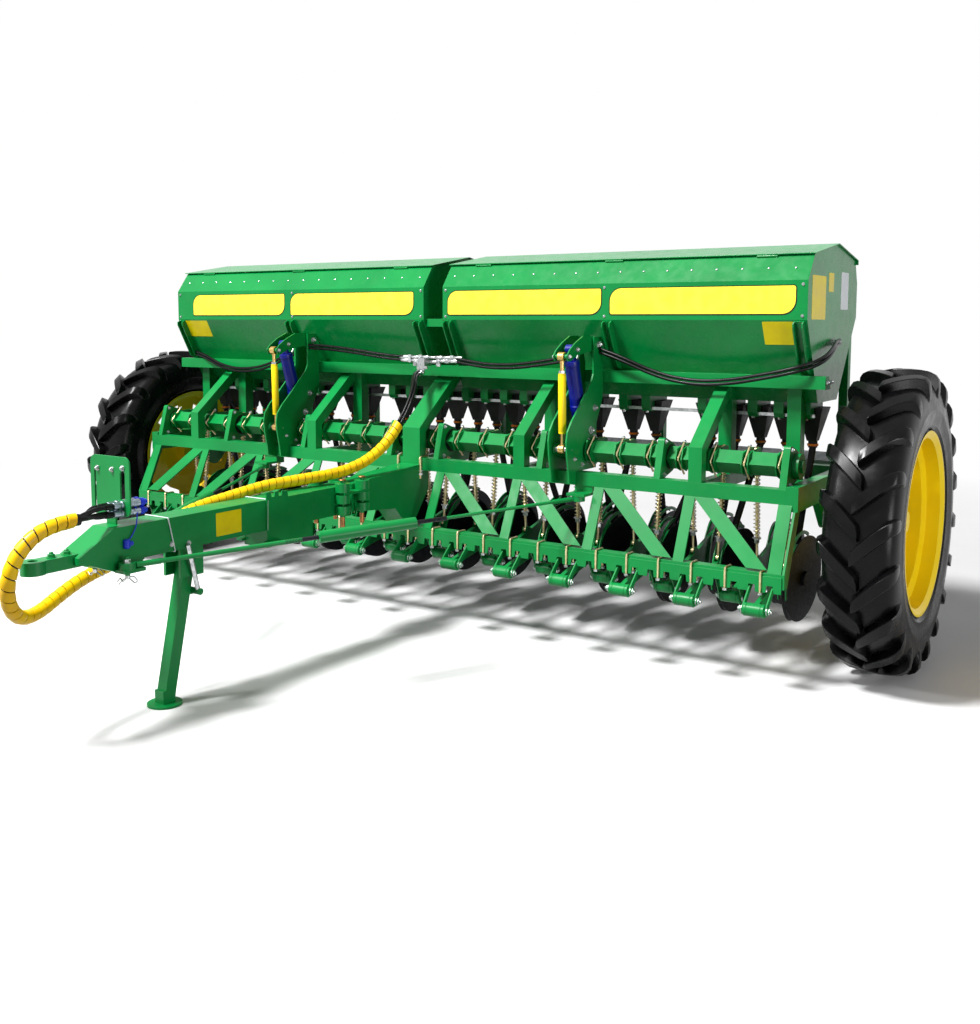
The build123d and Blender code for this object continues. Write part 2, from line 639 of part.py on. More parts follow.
def opener_gangs():
    sources = row_units()
    for name, rows, pivot_y, pivot_z, pin_y, pin_z, disc_y, disc_z in GANG_TABLE:
        pivot, pin, disc = (pivot_y, pivot_z), (pin_y, pin_z), (disc_y, disc_z)
        unit = opener(pivot, pin, disc)
        pair = disc_pair(disc)
        lean = (TIP_Y - pin_y) / (TIP_Z - pin_z)
        top = (TIP_Y + lean * 14, TIP_Z + 14)
        foot = (pin_y + lean * 2, pin_z + 2)
        eye = bar_x(pin, 12, -ROD_R - 0.7, ROD_R + 0.7)
        spring = [(0, pin_y + lean * (z - pin_z), z) for z in (SPRING_BOTTOM_Z, SPRING_TOP_Z)]
        shank = rod((0, *foot), (0, *top), ROD_R, FEW_SIDES) + eye
        inner = FORK_GAP / 2 - SEAT_GAP
        swivel = bar_x((TIP_Y, TIP_Z), 12, -inner, inner, FEW_SIDES)
        core = rod(spring[0], spring[1], ROD_R, FEW_SIDES)
        coil = rod(spring[0], spring[1], SPRING_R, FEW_SIDES) - core
        heights = (INLET_Z + SEAT_GAP, NECK_END_Z - SEAT_GAP)
        reach = (NECK_END_Z - INLET_Z) / 20
        for x in rows:
            place = Pos(x, 0, 0)
            save(f"openers_{name}", place * unit)
            save(f"discs_{name}", [place * blade for blade in pair])
            save(f"spring_rods_{name}", place * (shank + swivel))
            save(f"springs_{name}", place * coil)
            source = (sources[x], FUNNEL_Y)
            slope = ((x - source[0]) / reach, (disc_y - 15 - FUNNEL_Y) / reach)
            ends = [(source[0] - slope[0], source[1] - slope[1], NECK_END_Z + 20),
                    (x + slope[0], disc_y - 15 + slope[1], INLET_Z - 20)]
            room = block((-2000, 2000), (-400, 400), heights)
            save(f"seed_tubes_{name}", rod(*ends, SEED_TUBE_R, FEW_SIDES) & room)


def opener_brackets():
    """Ears that carry the opener sleeves under the lower beam, and the clamps that hold them."""
    low = LOWER_TOP_Z - LOWER_BEAM
    mid_y = LOWER_FRONT_Y + LOWER_BEAM / 2
    for name, rows, pivot_y, pivot_z, *_ in GANG_TABLE:
        pivot = (pivot_y, pivot_z)
        foot = SLEEVE_R - 4
        ear = [(mid_y - EAR_HEAD, low), (pivot_y - foot, pivot_z + 6), (pivot_y - foot * 0.6, pivot_z - foot),
               (pivot_y + foot * 0.6, pivot_z - foot), (pivot_y + foot, pivot_z + 6), (mid_y + EAR_HEAD, low)]
        outer = EAR_INNER + EAR_PLATE
        right = plate(ear, EAR_INNER, outer)
        nut = bar_x(pivot, 15, outer, outer + 8, 6) + bar_x(pivot, 9, outer + 8, outer + 15)
        bracket = both(right + nut)
        for x in rows:
            save("opener_brackets", [Pos(x, 0, 0) * side for side in bracket])
    y0, y1 = LOWER_FRONT_Y - COMB_PLATE, LOWER_FRONT_Y + LOWER_BEAM
    wall = 2 * CLAMP_R
    foot = low - 40
    loop = [(y0 - wall, foot), (y0 - wall, LOWER_TOP_Z + wall), (y1 + wall, LOWER_TOP_Z + wall),
            (y1 + wall, foot), (y1, foot), (y1, LOWER_TOP_Z), (y0, LOWER_TOP_Z), (y0, foot)]
    for x in ROWS:
        save("lower_clamps", plate(loop, x - CLAMP_R, x + CLAMP_R))


# Rockshaft
def rockshaft():
    centre = (SHAFT_Y, SHAFT_Z)
    square = Pos(*centre) * Rectangle(SHAFT_SIZE, SHAFT_SIZE, rotation=45)
    flange = bar_x(centre, FLANGE_R, SHAFT_HALF, SHAFT_HALF + FLANGE_LENGTH)
    cap = bar_x(centre, FLANGE_R * 0.55, SHAFT_HALF, SHAFT_HALF + FLANGE_LENGTH + 10, 6)
    save("rockshaft", fuse(profile(square, -SHAFT_HALF, SHAFT_HALF), *both(flange + cap)))
    crank = link(centre, COLLAR_R, CRANK_PIN, 24) - square
    cheeks = [profile(crank, a, b) for a, b in cheek_pair(ROCKER_OUTER, ROCKER_PLATE)]
    pin = bar_x(CRANK_PIN, PIN_R, -ROCKER_OUTER, ROCKER_OUTER)
    for side in (1, -1):
        save("cranks", Pos(side * TOWER_X, 0, 0) * fuse(*cheeks, pin))
    half = BEARING_WIDTH / 2
    for x in BEARING_X:
        save("shaft_bushes", both(profile(disc_at(centre, BUSH_R) - square, x - half, x + half)))
    reach = hypot(TIP_Y - SHAFT_Y, TIP_Z - SHAFT_Z)
    wide = COLLAR_R - 8
    fork = [(-COLLAR_R, -20), (-20, -COLLAR_R), (25, -wide), (reach, -14), (reach + 12, -6),
            (reach + 12, 6), (reach, 14), (25, wide), (-20, COLLAR_R), (-COLLAR_R, 20)]
    lean = degrees(atan2(TIP_Z - SHAFT_Z, TIP_Y - SHAFT_Y))
    prong = Pos(*centre) * Rot(0, 0, lean) * make_face(Polyline(*fork, close=True)) - square
    for x in ROWS:
        for a, b in cheek_pair(FORK_GAP / 2 + FORK_PLATE, FORK_PLATE):
            save("rockshaft_forks", profile(prong, x + a, x + b))
    corner = SHAFT_SIZE * sqrt(0.5)
    wall = 2 * CLAMP_R
    y, z = centre
    loop = [(y, z + corner), (y, z + corner + wall), (y - corner - wall, z), (y, z - corner - wall),
            (y, z - corner), (y - corner, z)]
    for x in ROWS:
        save("rockshaft_clamps", plate(loop, x - CLAMP_R, x + CLAMP_R))


def cheek_pair(outer, thickness):
    """The X limits of two equal plates either side of a middle."""
    return ((outer - thickness, outer), (-outer, thickness - outer))


def bearings():
    centre = (SHAFT_Y, SHAFT_Z)
    bore = disc_at(centre, BUSH_R + RUNNING_GAP)
    base = Polyline((MAIN_FRONT_Y + 4, MAIN_TOP_Z), (MAIN_FRONT_Y + MAIN_BEAM, MAIN_TOP_Z)).edges()
    stand = make_hull(base + disc_at(centre, BEARING_R).edges() + disc_at(BEARING_BOLT, 16).edges()) - bore
    half = BEARING_WIDTH / 2
    for x in BEARING_X:
        save("shaft_bearings", both(profile(stand, x - half, x + half)))


# Lift towers
def towers():
    base = [(MAIN_FRONT_Y, MAIN_TOP_Z - MAIN_BEAM), (MAIN_FRONT_Y, MAIN_TOP_Z), (TOWER_REAR[0][0], MAIN_TOP_Z)]
    hole = disc_at((SHAFT_Y, SHAFT_Z), COLLAR_R + 4)
    pins = [ROCKER_PIVOT, CYLINDER_FOOT, TOWER_SPACER]
    face = make_face(Polyline(*TOWER_FRONT, *base, *TOWER_REAR, close=True))
    face = face - [hole, *[disc_at(pin, PIN_R) for pin in pins]]
    cheeks = [profile(face, a, b) for a, b in cheek_pair(TOWER_HALF, TOWER_PLATE)]
    reach = TOWER_HALF + 12
    bars = [bar_x(pin, PIN_R, -reach, reach, FEW_SIDES) if pin == TOWER_SPACER else
            bar_x(pin, PIN_R, -reach, reach) for pin in pins]
    for side in (1, -1):
        place = Pos(side * TOWER_X, 0, 0)
        save("lift_towers", [place * cheek for cheek in cheeks])
        save("tower_pins", [place * bar for bar in bars])


def eye_plate(point, radius, half, play=1):
    return profile(disc_at(point, radius) - disc_at(point, PIN_R + play), -half, half)


def between(a, b, start, length, radius):
    """A round length on the line from a to b, starting some way along it."""
    y, z = b[0] - a[0], b[1] - a[1]
    run = hypot(y, z)
    return rod(*[(0, a[0] + y * s / run, a[1] + z * s / run) for s in (start, start + length)], radius)


def lift_linkage():
    face = make_face(Polyline(*ROCKER_EDGE, close=True)) - disc_at(ROCKER_PIVOT, PIN_R + RUNNING_GAP)
    cheeks = [profile(face, a, b) for a, b in cheek_pair(ROCKER_OUTER, ROCKER_PLATE)]
    pins = [bar_x(point, PIN_R, -ROCKER_OUTER, ROCKER_OUTER) for point in (ROCKER_PIN, CYLINDER_TOP)]
    rocker = fuse(*cheeks, *pins)
    span = hypot(CRANK_PIN[0] - ROCKER_PIN[0], CRANK_PIN[1] - ROCKER_PIN[1])
    buckle = fuse(
        eye_plate(ROCKER_PIN, 20, 14), between(ROCKER_PIN, CRANK_PIN, 17, span - 34, 9),
        between(ROCKER_PIN, CRANK_PIN, 76, 268, TURNBUCKLE_R), eye_plate(CRANK_PIN, 20, 14, 4),
    )
    reach = hypot(CYLINDER_TOP[0] - CYLINDER_FOOT[0], CYLINDER_TOP[1] - CYLINDER_FOOT[1])
    closed_gap, neck = 44, 54
    bore = between(CYLINDER_TOP, CYLINDER_FOOT, 60, reach, PISTON_ROD_R + RUNNING_GAP)
    barrel = fuse(
        eye_plate(CYLINDER_TOP, 22, 16), between(CYLINDER_TOP, CYLINDER_FOOT, 20, neck, 20),
        between(CYLINDER_TOP, CYLINDER_FOOT, neck, reach - closed_gap - neck, BARREL_R),
    )
    barrel = barrel - bar_x(CYLINDER_TOP, PIN_R + 1, -60, 60) - bore
    piston = fuse(between(CYLINDER_TOP, CYLINDER_FOOT, 70, reach - 88, PISTON_ROD_R),
                  eye_plate(CYLINDER_FOOT, 22, 16, 2))
    for side in (1, -1):
        place = Pos(side * TOWER_X, 0, 0)
        save("rockers", place * rocker)
        save("turnbuckles", place * buckle)
        save("cylinder_barrels", place * barrel)
        save("cylinder_rods", place * piston)


# Drawbar
def drawbar():
    top, low = BAR_TOP_Z, BAR_BOTTOM_Z
    front_end, rear_start = HINGE_Y - 20, HINGE_Y + 20
    outline = [
        (-2410, 652), (-2264, top), (front_end, top), (front_end, low), (-2132, low), (-2181, 570),
        (-2234, 566), (-2366, 619), (-2412, 628),
    ]
    half_thick = HITCH_THICKNESS / 2
    mouth = block((-TONGUE_HALF - 1, TONGUE_HALF + 1), (-2450, TONGUE_END_Y), (NOSE_Z - half_thick, NOSE_Z + half_thick))
    y0, y1 = CHEEK_Y
    notched = [(y0, CHEEK_BOTTOM_Z), (y0, 768), (y0 + 24, 768), (y0 + 30, 745), (y0 + 46, 745),
               (y0 + 50, 766), (y0 + 68, 766), (y0 + 72, 745), (y0 + 88, 745), (y0 + 92, 764),
               (y0 + 122, 762), (y0 + 126, top), (y1, top), (y1, CHEEK_BOTTOM_Z)]
    cheek = plate(notched, BAR_HALF, BAR_HALF + CHEEK_WALL)
    plain = block((-BAR_HALF - CHEEK_WALL, -BAR_HALF), CHEEK_Y, (CHEEK_BOTTOM_Z, top))
    hook = block((BAR_HALF, BAR_HALF + 32), (y0 - 20, y0 + 60), (CHEEK_BOTTOM_Z + 18, CHEEK_BOTTOM_Z + 28))
    sides = [cheek, plain, *both(hook)]
    ribs = [block((-BAR_HALF, BAR_HALF), (y0, y0 + 8), (CHEEK_BOTTOM_Z, low)),
            block((-BAR_HALF, BAR_HALF), (y1 - 8, y1), (CHEEK_BOTTOM_Z, low))]
    front_bosses, rear_bosses = hinge_bosses()
    lug_z = (STAY_FRONT[2] - STAY_EYE / 2 - 12, STAY_FRONT[2] - STAY_EYE / 2)
    bore = Pos(STAY_FRONT[0], STAY_FRONT[1], lug_z[0]) * Cylinder(STAY_BOLT_R + SEAT_GAP, 60)
    lug = block((BAR_HALF, STAY_FRONT[0] + 26), (STAY_FRONT[1] - 30, STAY_FRONT[1] + 60), lug_z) - bore
    body = plate(outline, -BAR_HALF, BAR_HALF) - mouth
    save("drawbar_front", fuse(body, *ribs, *sides, *front_bosses, *both(lug)))
    y, z = STAND_PIVOT
    ears = [block((STAND_X + s * 43 - 6, STAND_X + s * 43 + 6), (y - 66, y + 46), (z - 56, low)) for s in (-1, 1)]
    pin = bar_x(STAND_PIVOT, STAND_PIN_R, STAND_X - 58, STAND_X + 58)
    save("drawbar_front", fuse(pin, *ears))
    tongue = Pos(0, HITCH_Y) * Circle(HITCH_R)
    tongue += Pos(0, (HITCH_Y + TONGUE_END_Y) / 2) * Rectangle(2 * TONGUE_HALF, TONGUE_END_Y - HITCH_Y)
    tongue -= Pos(0, HITCH_Y) * Circle(HITCH_HOLE_R)
    save("hitch_tongue", extrude(Plane.XY.offset(NOSE_Z - half_thick) * tongue, HITCH_THICKNESS))
    beam_rear, beam_low = MAIN_FRONT_Y + MAIN_BEAM, MAIN_TOP_Z - MAIN_BEAM
    rear_side = [
        (rear_start, top), (MAIN_FRONT_Y - 14, 770), (MAIN_FRONT_Y, 770), (MAIN_FRONT_Y, beam_low),
        (beam_rear, beam_low), (beam_rear, 640), (LOWER_FRONT_Y + LOWER_BEAM, LOWER_TOP_Z),
        (LOWER_FRONT_Y, LOWER_TOP_Z), (LOWER_FRONT_Y - 90, low - 30), (rear_start, low),
    ]
    save("drawbar_rear", fuse(plate(rear_side, -BAR_HALF, BAR_HALF), *rear_bosses))


def hinge_bosses():
    """Stacked eyes each side of the bar, front and rear ones in turn, with two pins through them."""
    x = BAR_HALF + HINGE_BOSS_R - 14
    front, rear = [], []
    for side in (1, -1):
        for z0, z1 in BOSS_Z:
            for y, pile, edge in ((HINGE_PINS[0], front, HINGE_Y - 20), (HINGE_PINS[1], rear, HINGE_Y + 20)):
                boss = Pos(side * x, y, (z0 + z1) / 2) * Cylinder(HINGE_BOSS_R, z1 - z0)
                pile.append(boss)
        for y, pile in ((HINGE_PINS[0], front), (HINGE_PINS[1], rear)):
            z0, z1 = BOSS_Z[-1][0] - 56, BOSS_Z[0][1] + 12
            pile.append(Pos(side * x, y, (z0 + z1) / 2) * Cylinder(HINGE_PIN_R, z1 - z0))
        link_y = (HINGE_PINS[0] - 20, HINGE_PINS[1] + 20)
        link_x = tuple(sorted((side * (BAR_HALF + 1), side * (x + HINGE_BOSS_R - 4))))
        bore = Pos(side * x, HINGE_PINS[1], BOSS_Z[0][0]) * Cylinder(HINGE_PIN_R + SEAT_GAP, 60)
        front.append(block(link_x, link_y, (BOSS_Z[1][1] + 0.5, BOSS_Z[0][0] - 0.5)) - bore)
    return front, rear


def stand():
    """A leaning leg that folds about its pin, with a round foot and a side strut."""
    y, z = STAND_FOOT_Y - STAND_PIVOT[0], -STAND_PIVOT[1]
    lean = degrees(atan2(-y, -z))
    length = hypot(y, z)
    half = STAND_TUBE / 2
    tube = block((-half, half), (-half, half), (-length + 30, 35))
    leg = Pos(0, *STAND_PIVOT) * Rot(-lean, 0, 0) * tube
    leg -= bar_x(STAND_PIVOT, STAND_PIN_R + RUNNING_GAP, -half, half)
    ground = Pos(0, STAND_FOOT_Y, STAND_FOOT_PLATE / 2) * Cylinder(STAND_FOOT_R, STAND_FOOT_PLATE)
    shoe = block((-half, half), (STAND_FOOT_Y - half, STAND_FOOT_Y + half + 8), (STAND_FOOT_PLATE, 60))
    strut = rod(STRUT_TOP, STRUT_FOOT, STRUT_R, FEW_SIDES)
    foot_pin = bar_x((STRUT_FOOT[1], STRUT_FOOT[2]), 14, STAND_X, STRUT_FOOT[0] + 14, FEW_SIDES)
    lug = block((STAND_X, STAND_X + half), (STRUT_FOOT[1] - 40, STRUT_FOOT[1]), (STRUT_FOOT[2] - 14, STRUT_FOOT[2] + 14))
    save("stand_leg", fuse(Pos(STAND_X, 0, 0) * fuse(leg, shoe, ground), foot_pin, lug))
    save("stand_strut", strut - foot_pin)


def rack():
    """The upright plate on the nose, with the couplings held in its open side."""
    width, height = RACK_X[1] - RACK_X[0], RACK_TOP_Z - RACK_BOTTOM_Z
    centre, mid = sum(RACK_X) / 2, (RACK_BOTTOM_Z + RACK_TOP_Z) / 2
    shield = Pos(centre, mid) * RectangleRounded(width, height, 28)
    slots = [Pos(RACK_X[1] - 38, mid - 20) * SlotOverall(height - 60, 26, rotation=90),
             Pos(RACK_X[0] + 26, mid - 20) * SlotOverall(height - 60, 10, rotation=90)]
    panel = extrude(Plane.XZ.offset(-RACK_Y) * (shield - slots), RACK_WALL)
    room = block((8, 70), (RACK_Y - 20, RACK_Y + 20), (RACK_BOTTOM_Z - 1, 832))
    post = block((-46, 4), (RACK_Y, RACK_Y + 8), (BAR_TOP_Z, RACK_BOTTOM_Z + 60))
    holder = block((8, 70), (RACK_Y - RACK_WALL, RACK_Y), (RACK_BOTTOM_Z, 832))
    bores = [Pos(x, RACK_Y, z) * Cylinder(COUPLER_R + SEAT_GAP, 60, rotation=(90, 0, 0)) for x, z in COUPLER_SPOTS]
    save("hose_rack", fuse(panel - room, post, holder - bores))
    for x, z in COUPLER_SPOTS:
        save("hose_fittings", rod((x, COUPLER_Y[0], z), (x, COUPLER_Y[1], z), COUPLER_R, FEW_SIDES))


def stays():
    """Side stays that lock the drawbar's hinge: thin front rod, thick sleeve and threaded ends."""
    front, rear = Vector(*STAY_FRONT), Vector(*STAY_REAR)
    along = rear - front

    def at(t):
        return tuple(front + along * t)

    pieces = [rod(at(a), at(b), radius) for a, b, radius in (
        (0.016, 0.06, STAY_EYE / 2 - 1.5), (0.05, 0.335, STAY_ROD_R), (0.33, 0.98, STAY_THREAD_R),
        (0.37, 0.585, STAY_TUBE_R), (0.93, 0.98, STAY_EYE / 2 - 1.5))]
    eyes = [Pos(*spot) * Cylinder(STAY_EYE_R, STAY_EYE) for spot in (STAY_FRONT, STAY_REAR)]
    bolt = Pos(STAY_FRONT[0], STAY_FRONT[1], STAY_FRONT[2]) * Cylinder(STAY_BOLT_R, STAY_EYE + 46)
    save("stays", both(fuse(*pieces, *eyes, bolt)))
    x, y, z = STAY_REAR
    pad_z = (z + STAY_EYE / 2, z + STAY_EYE / 2 + 12)
    beam_rear = MAIN_FRONT_Y + MAIN_BEAM
    pad = block((x - 45, x + 45), (y - 30, beam_rear), pad_z)
    riser = block((x - 45, x + 45), (MAIN_FRONT_Y + 4, beam_rear), (pad_z[1], MAIN_TOP_Z - MAIN_BEAM))
    save("main_beam", both(pad + riser))


# Oil lines: the block that joins them, and free hoses with the points along each route
def manifold():
    bar = block((-150, 140), (-290, -266), (1272, 1296))
    drop = block((-74, -46), (-292, -264), (1198, 1272))
    foot = block((-30, -10), (-266, HOPPER_BEAM_Y + 10), (HOPPER_BEAM_TOP_Z, 1290))
    clip = block((HOPPER_HALF, HOPPER_HALF + 12.4), (95, 120), (1374, 1399))
    save("hose_fittings", bar + drop + foot, clip)


HOSES = {
    # name: (radius, points)
    "hose_bundle": (26, [
        (48, -2400, 787), (44, -2470, 786), (38, -2560, 762), (26, -2627, 696), (6, -2651, 605),
        (-22, -2627, 515), (-54, -2560, 448), (-88, -2470, 424), (-120, -2380, 438), (-142, -2285, 470),
        (-150, -2190, 504), (-146, -2095, 545), (-134, -2005, 596), (-124, -1915, 650), (-114, -1825, 694),
        (-107, -1725, 722), (-104, -1620, 734),
        (-94, -1485, 752), (-76, -1370, 768), (-54, -1255, 772), (-34, -1140, 776), (-18, -1030, 780),
        (-4, -920, 792), (12, -820, 820), (26, -728, 868), (36, -655, 925), (42, -600, 990),
    ]),
    "hose_feed": (11, [
        (42, -599.6, 990.5), (46, -562, 1035.5), (45, -527, 1083), (36, -488, 1130), (14, -447, 1168),
        (-18, -405, 1194), (-46, -352, 1211), (-59, -295, 1218),
    ]),
    "hose_left_inner": (10, [
        (-150.8, -278, 1284), (-250, -281, 1288), (-370, -289, 1301), (-505, -292, 1317),
        (-645, -290, 1329), (-745, -287, 1334), (-831.4, -284, 1336),
    ]),
    "hose_left_outer": (10, [
        (-935.4, -236, 1316), (-1005, -230, 1295), (-1085, -233, 1262), (-1180, -238, 1224),
        (-1290, -240, 1198), (-1440, -240, 1190), (-1580, -236, 1212), (-1690, -222, 1250),
        (-1775, -203, 1272), (-1840.6, -188, 1280),
    ]),
    "hose_right_inner": (10, [
        (141.9, -278, 1284), (240, -285, 1269), (360, -290, 1257), (510, -290, 1260),
        (655, -286, 1280), (750, -282, 1296), (830.7, -280, 1304),
    ]),
    "hose_right_outer": (10, [
        (935.5, -248, 1343), (1000, -254, 1324), (1085, -254, 1294), (1185, -250, 1254),
        (1300, -252, 1222), (1440, -253, 1208), (1580, -253, 1220), (1700, -253, 1243),
        (1795, -252, 1263), (1868, -246, 1282), (1920, -204, 1302), (1944, -138, 1326),
        (1946, -66, 1350), (1938, 10, 1370), (1924, 84, 1384), (1922, 140, 1389),
    ]),
    "hose_couplings": (10, [
        (24, -2262.6, 784), (24.5, -2292, 784), (31, -2324, 785), (40, -2351, 786), (46.5, -2375, 787),
        (48, -2398.6, 787),
    ]),
}


def bend_radii(points):
    """One arc for each corner: 0.45 of the shorter run over the tangent of half the turn."""
    spots = [Vector(*p) for p in points]
    radii = []
    for a, b, c in zip(spots, spots[1:], spots[2:]):
        turn = radians((b - a).get_angle(c - b))
        radii.append(0.45 * min((b - a).length, (c - b).length) / tan(turn / 2))
    return radii


def hoses():
    for name, (radius, points) in HOSES.items():
        radii = bend_radii(points)
        path = FilletPolyline(*points, radius=radii)
        section = Plane(origin=points[0], z_dir=path % 0) * Circle(radius)
        tube = sweep(section, path=path)
        share = tube.volume / (section.area * path.length)
        print(name, "length", round(path.length), "tightest bend", round(min(radii)), "volume share", round(share, 3))
        save(name, tube)


wheels()
beams()
truss_web()
hopper_supports()
footboard()
hopper()
lids()
metering()
opener_gangs()
opener_brackets()
rockshaft()
bearings()
towers()
lift_linkage()
drawbar()
stand()
rack()
stays()
manifold()
hoses()

for name, solids in NODES.items():
    moved = [Pos(0, FRAME_SHIFT, 0) * solid for solid in solids]
    export_step(moved[0] if len(moved) == 1 else Compound(children=moved), f"parts/{name}.step")
print(len(NODES), "nodes")
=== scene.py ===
"""The looks of the seed drill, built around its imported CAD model.

Points are millimetres from the wheel axle's line, as the model is drawn, and at() turns them into
the frame's metres. -Y is the direction of travel and +Z is up.
"""

import json
import math

import bmesh
import bpy
from mathutils import Matrix, Vector


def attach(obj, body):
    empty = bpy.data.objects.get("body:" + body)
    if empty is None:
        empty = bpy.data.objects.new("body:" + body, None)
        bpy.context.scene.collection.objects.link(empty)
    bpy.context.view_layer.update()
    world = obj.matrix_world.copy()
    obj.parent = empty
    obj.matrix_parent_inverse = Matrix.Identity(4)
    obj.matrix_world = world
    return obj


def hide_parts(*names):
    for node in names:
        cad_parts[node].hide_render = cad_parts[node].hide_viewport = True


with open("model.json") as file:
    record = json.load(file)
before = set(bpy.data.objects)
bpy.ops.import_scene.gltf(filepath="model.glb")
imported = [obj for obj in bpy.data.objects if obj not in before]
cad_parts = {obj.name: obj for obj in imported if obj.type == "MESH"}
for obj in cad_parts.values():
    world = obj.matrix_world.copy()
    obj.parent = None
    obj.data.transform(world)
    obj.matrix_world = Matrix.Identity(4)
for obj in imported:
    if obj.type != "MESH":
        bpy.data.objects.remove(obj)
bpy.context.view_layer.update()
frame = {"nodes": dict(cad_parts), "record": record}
nodes = frame["nodes"]

# Inputs and output of a colour mix node, by number because its names repeat
MIX_FACTOR, MIX_A, MIX_B, MIX_RESULT = 0, 6, 7, 2
# The part of a noise that most of its area lies in
MIDDLE = (0.3, 0.7)
DUST = "#7d8a62"


# Colours and shader nodes
def linear(code):
    """Linear RGBA from an sRGB hex code."""
    channels = [int(code[i : i + 2], 16) / 255 for i in (1, 3, 5)]
    return [c / 12.92 if c <= 0.04045 else ((c + 0.055) / 1.055) ** 2.4 for c in channels] + [1.0]


def put(tree, socket, value):
    """Set an input to a value, or link it to another node's output."""
    if isinstance(value, bpy.types.NodeSocket):
        tree.links.new(value, socket)
    else:
        socket.default_value = value


def add(tree, kind, inputs=None, **settings):
    """One shader node with its settings; an input is a value, or another node's output to link."""
    made = tree.nodes.new(kind)
    for name, value in settings.items():
        setattr(made, name, value)
    for name, value in (inputs or {}).items():
        put(tree, made.inputs[name], value)
    return made


def start(name, inputs):
    """A new material: its tree, its shader with constants set, and object coordinates in metres."""
    made = bpy.data.materials.new(name)
    made.use_nodes = True
    tree = made.node_tree
    tree.nodes.clear()
    out = add(tree, "ShaderNodeOutputMaterial")
    shader = add(tree, "ShaderNodeBsdfPrincipled", inputs)
    tree.links.new(shader.outputs["BSDF"], out.inputs["Surface"])
    place = add(tree, "ShaderNodeTexCoord").outputs["Object"]
    return made, tree, shader, place


def noise(tree, place, size_mm, detail=3.0, roughness=0.5):
    """Noise whose features are about size_mm across."""
    inputs = {"Vector": place, "Scale": 1000 / size_mm, "Detail": detail, "Roughness": roughness}
    return add(tree, "ShaderNodeTexNoise", inputs).outputs["Fac"]


def spread(tree, value, low, high, out_low=0.0, out_high=1.0):
    """A value stretched from one range to another, and held inside it."""
    inputs = {"Value": value, "From Min": low, "From Max": high, "To Min": out_low, "To Max": out_high}
    return add(tree, "ShaderNodeMapRange", inputs).outputs["Result"]


def blend(tree, factor, a, b):
    """Colour a where factor is 0 and b where it is 1; each is an RGBA or an output."""
    made = add(tree, "ShaderNodeMix", data_type="RGBA")
    for index, value in ((MIX_FACTOR, factor), (MIX_A, a), (MIX_B, b)):
        put(tree, made.inputs[index], value)
    return made.outputs[MIX_RESULT]


def relief(tree, shader, height, depth_mm, strength=0.5, edge_mm=0.0):
    """Fine surface relief, over edges rounded by edge_mm where that is set."""
    inputs = {"Height": height, "Distance": depth_mm / 1000, "Strength": strength}
    if edge_mm:
        bevel = add(tree, "ShaderNodeBevel", {"Radius": edge_mm / 1000}, samples=4)
        inputs["Normal"] = bevel.outputs["Normal"]
    made = add(tree, "ShaderNodeBump", inputs)
    tree.links.new(made.outputs["Normal"], shader.inputs["Normal"])


def paint(name, code, dark, rough=(0.3, 0.42), dust=0.2, edge_mm=1.5):
    """Sprayed machine paint: slight mottle, orange peel, soft edges and a film of dust in patches."""
    made, tree, shader, place = start(name, {"IOR": 1.45, "Specular IOR Level": 0.3})
    mottle = spread(tree, noise(tree, place, 260, 4.0), *MIDDLE)
    colour = blend(tree, mottle, linear(dark), linear(code))
    film = spread(tree, noise(tree, place, 90, 8.0, 0.7), 0.55, 0.85, 0.0, dust * 0.3)
    colour = blend(tree, film, colour, linear(DUST))
    tree.links.new(colour, shader.inputs["Base Color"])
    gloss = spread(tree, noise(tree, place, 40, 5.0), *MIDDLE, *rough)
    tree.links.new(gloss, shader.inputs["Roughness"])
    relief(tree, shader, noise(tree, place, 2.5, 2.0), 0.08, 0.2, edge_mm)
    return made


def metal(name, code, dark, rough=(0.22, 0.42), size_mm=12, edge_mm=0.0):
    """Bare or plated steel with uneven tone and fine marks."""
    made, tree, shader, place = start(name, {"Metallic": 1.0, "IOR": 2.5})
    tone = spread(tree, noise(tree, place, size_mm, 6.0, 0.65), 0.3, 0.75)
    tree.links.new(blend(tree, tone, linear(dark), linear(code)), shader.inputs["Base Color"])
    tree.links.new(spread(tree, tone, 0.0, 1.0, rough[1], rough[0]), shader.inputs["Roughness"])
    relief(tree, shader, noise(tree, place, 1.2, 2.0), 0.05, 0.3, edge_mm)
    return made


def plastic(name, code, dark, rough=(0.4, 0.6), grain_mm=1.5, depth_mm=0.06, shine=0.3):
    """Moulded plastic, rubber or film with a fine grain."""
    made, tree, shader, place = start(name, {"IOR": 1.5, "Specular IOR Level": shine})
    tone = spread(tree, noise(tree, place, 60, 5.0), *MIDDLE)
    tree.links.new(blend(tree, tone, linear(dark), linear(code)), shader.inputs["Base Color"])
    tree.links.new(spread(tree, tone, 0.0, 1.0, *rough), shader.inputs["Roughness"])
    relief(tree, shader, noise(tree, place, grain_mm, 2.0), depth_mm, 0.4)
    return made


